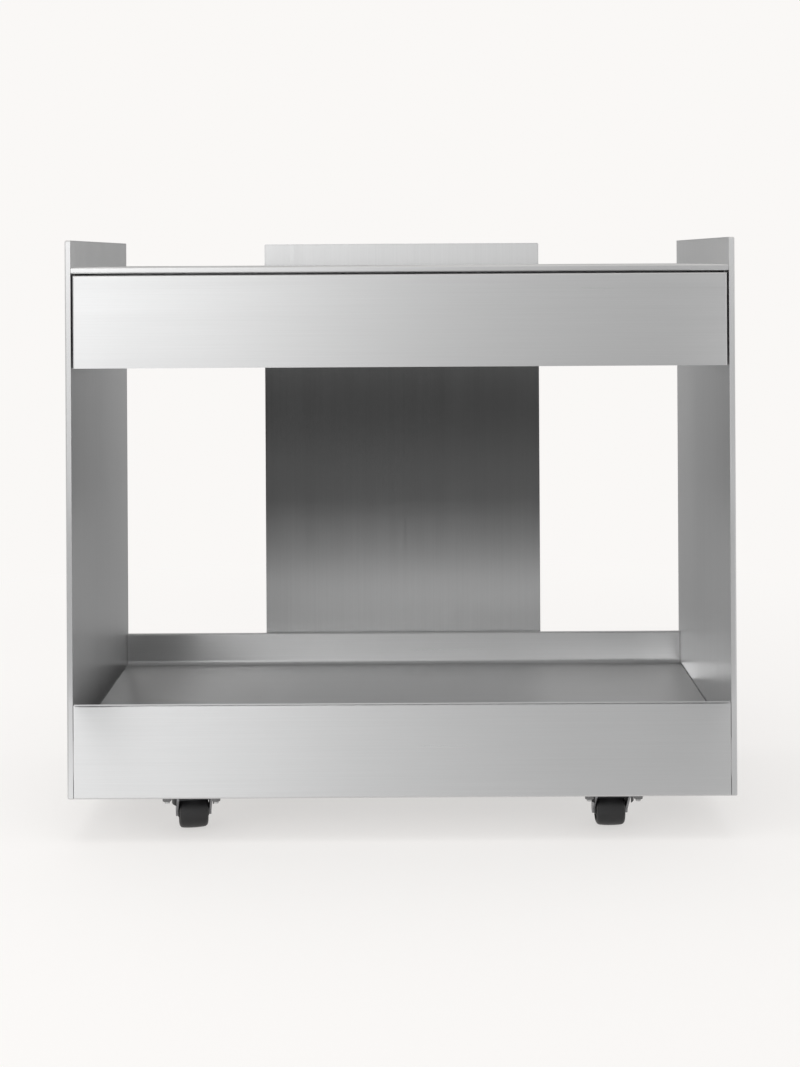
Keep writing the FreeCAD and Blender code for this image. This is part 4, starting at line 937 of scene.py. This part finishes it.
class TROLLEY_OT_panels(bpy.types.Operator):
    """Finish the side and back panels, brushed upright"""

    bl_idname = "trolley.panels"
    bl_label = "Side and back panels"

    def execute(self, context):
        steel = context.scene.trolley.steel
        upright = brushed_steel("steel_upright", steel, UPRIGHT, "Z", steel.panel_stretch)
        paint([f"{panel}_panel_{sheet}" for panel in PANELS for sheet in ("shell", "inner_skin")], upright)
        mottle = {"size": 0.0008, "contrast": 0.25, "roughness": 0.45, "spread": 0.2, "height": 0.00001}
        bar = speckled("bar_steel", BAR_COLOUR, **mottle)
        paint([f"{panel}_panel_backing_bars" for panel in PANELS], bar)
        return {"FINISHED"}


class TROLLEY_OT_inner_sheets(bpy.types.Operator):
    """Finish the drawer tub, stiffeners, brackets and castor channels in plain rolled sheet"""

    bl_idname = "trolley.inner_sheets"
    bl_label = "Drawer tub and inner sheets"

    def execute(self, context):
        colour = context.scene.trolley.steel.mill_colour
        mottle = {"size": 0.0006, "contrast": 0.14, "roughness": 0.36, "spread": 0.14, "height": 0.000004}
        mill = speckled("mill_sheet", colour, **mottle)
        names = ["drawer_floor", "drawer_walls", "top_stiffeners"]
        names += [f"{side}_{piece}" for side in SIDES for piece in ("tray_bracket", "castor_channel")]
        paint(names, mill)
        return {"FINISHED"}


class TROLLEY_OT_runners(bpy.types.Operator):
    """Finish the drawer runners and their stops, and all ball cages and ball rings"""

    bl_idname = "trolley.runners"
    bl_label = "Drawer runners and balls"

    def execute(self, context):
        colour = context.scene.trolley.castors.plating
        mottle = {"size": 0.0015, "contrast": 0.12, "roughness": 0.30, "spread": 0.25, "height": 0.000004}
        zinc = speckled("runner_zinc", colour, **mottle)
        paint([f"{side}_runner_{rail}" for side in SIDES for rail in ("outer", "middle", "inner")], zinc)
        mottle = {"size": 0.001, "contrast": 0.12, "roughness": 0.16, "spread": 0.15, "height": 0.000002}
        bright = speckled("bearing_steel", BEARING_COLOUR, **mottle)
        paint([f"{side}_{row}_ball_cage" for side in SIDES for row in ("outer", "inner")], bright)
        paint([f"{castor}_ball_ring" for castor in CASTORS], bright)
        mottle = {"size": 0.0005, "contrast": 0.30, "roughness": 0.48, "spread": 0.20, "height": 0.00001}
        nylon = speckled("stop_nylon", NYLON_COLOUR, **mottle, metallic=0.0)
        paint(["runner_stops"], nylon)
        return {"FINISHED"}


class TROLLEY_OT_fasteners(bpy.types.Operator):
    """Finish the bolts and screws"""

    bl_idname = "trolley.fasteners"
    bl_label = "Bolts and screws"

    def execute(self, context):
        mottle = {"size": 0.0004, "contrast": 0.25, "roughness": 0.33, "spread": 0.25, "height": 0.000006}
        plain = speckled("fastener_steel", FASTENER_COLOUR, **mottle)
        paint(["panel_bolts", "drawer_front_screws", "runner_drawer_screws", "runner_panel_screws"], plain)
        paint(["castor_bolts"], plain)
        return {"FINISHED"}


class TROLLEY_OT_castor_frames(bpy.types.Operator):
    """Finish the castors' plates, forks, axles and kingpins, with painted shade on the forks' crowns and skirts"""

    bl_idname = "trolley.castor_frames"
    bl_label = "Castor frames"

    def execute(self, context):
        castors = context.scene.trolley.castors
        zinc = speckled("castor_zinc", castors.fork_colour, **CASTOR_ZINC)
        pieces = ("castor_plate", "axle", "kingpin")
        paint([f"{castor}_{piece}" for castor in CASTORS for piece in pieces], zinc)
        leg = (castors.leg_inside, castors.leg_outside, castors.crown_painted_shade)
        joints = {joint["child"]: joint for joint in frame["joints"]}
        for castor in CASTORS:
            # Painted shade on each fork: only its legs keep the zinc colour, and its crown and skirt are darkened
            fork = speckled(f"{castor}_fork_zinc_painted_shade", castors.fork_colour, **CASTOR_ZINC)
            axle = joints[f"{castor}_roller"]
            paint_shade_outside_band(fork, axle["pos_m"], axle["axis"], *leg)
            paint([f"{castor}_fork"], fork)
        return {"FINISHED"}


class TROLLEY_OT_castor_nuts(bpy.types.Operator):
    """Make the chamfered nuts under the castor plates"""

    bl_idname = "trolley.castor_nuts"
    bl_label = "Castor nuts"

    def execute(self, context):
        castors = context.scene.trolley.castors
        edge = castors.nut_edge
        places = []
        for castor in CASTORS:
            low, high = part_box(f"{castor}_castor_plate")
            for x in (low.x + edge, high.x - edge):
                places += [(x, low.y + edge, low.z), (x, high.y - edge, low.z)]
        points, quads = nut_surface(castors, np.array(places))
        mottle = {"size": 0.0004, "contrast": 0.30, "roughness": 0.36, "spread": 0.25, "height": 0.000006}
        finish = speckled("nut_steel", castors.nut_colour, **mottle)
        new_piece(
            "castor_nuts_chamfered",
            points,
            quads,
            "carcass",
            finish,
            ["castor_nuts"],
            NUT_SHARP,
        )
        return {"FINISHED"}


class TROLLEY_OT_wheels(bpy.types.Operator):
    """Make the moulded castor wheels"""

    bl_idname = "trolley.wheels"
    bl_label = "Castor wheels"

    def execute(self, context):
        castors = context.scene.trolley.castors
        mottle = {"size": 0.0006, "contrast": 0.40, "roughness": 0.46, "spread": 0.25, "height": 0.00002}
        nylon = speckled("wheel_moulding", castors.wheel_colour, **mottle, metallic=0.0)
        joints = {joint["child"]: joint for joint in frame["joints"]}
        for castor in CASTORS:
            joint = joints[f"{castor}_roller"]
            points, quads = wheel_surface(castors, np.array(joint["pos_m"]), np.array(joint["axis"]))
            new_piece(
                f"{castor}_wheel_moulded",
                points,
                quads,
                f"{castor}_roller",
                nylon,
                [f"{castor}_wheel"],
                WHEEL_SHARP,
            )
        return {"FINISHED"}


class TROLLEY_OT_studio(bpy.types.Operator):
    """Make the floor, the background, the lamps, the glowing cards that paint reflections and shade, and the
    camera
    """

    bl_idname = "trolley.studio"
    bl_label = "Studio"

    def execute(self, context):
        scene = context.scene
        studio = scene.trolley.studio
        scene.view_settings.view_transform = "Standard"
        make_floor(studio)
        make_world(scene, studio)
        for name, lamp in LAMPS.items():
            make_lamp(name, *lamp)
        make_room_cards()
        make_bay_cards()
        make_tray_cards()
        make_camera(scene, studio)
        return {"FINISHED"}


OPERATORS = (
    TROLLEY_OT_brushed_sheets,
    TROLLEY_OT_panels,
    TROLLEY_OT_inner_sheets,
    TROLLEY_OT_runners,
    TROLLEY_OT_fasteners,
    TROLLEY_OT_castor_frames,
    TROLLEY_OT_castor_nuts,
    TROLLEY_OT_wheels,
    TROLLEY_OT_studio,
)


class VIEW3D_PT_trolley(bpy.types.Panel):
    """Sidebar list of the trolley's settings and operators"""

    bl_idname = "VIEW3D_PT_trolley"
    bl_label = "Serving trolley"
    bl_space_type = "VIEW_3D"
    bl_region_type = "UI"
    bl_category = "Trolley"

    def draw(self, context):
        settings = context.scene.trolley
        for group in (settings.steel, settings.castors, settings.studio):
            box = self.layout.box()
            for name in group.bl_rna.properties.keys():
                if name not in ("rna_type", "name"):
                    box.prop(group, name)
        for operator in OPERATORS:
            self.layout.operator(operator.bl_idname)


CLASSES = (TrolleySteel, TrolleyCastors, TrolleyStudio, TrolleySettings, *OPERATORS, VIEW3D_PT_trolley)


def register():
    for item in CLASSES:
        bpy.utils.register_class(item)
    bpy.types.Scene.trolley = PointerProperty(type=TrolleySettings)


def unregister():
    del bpy.types.Scene.trolley
    for item in reversed(CLASSES):
        bpy.utils.unregister_class(item)


def main():
    """Registers the add-on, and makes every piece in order."""
    register()
    for operator in OPERATORS:
        area, name = operator.bl_idname.split(".")
        getattr(getattr(bpy.ops, area), name)()


if __name__ == "__main__":
    main()
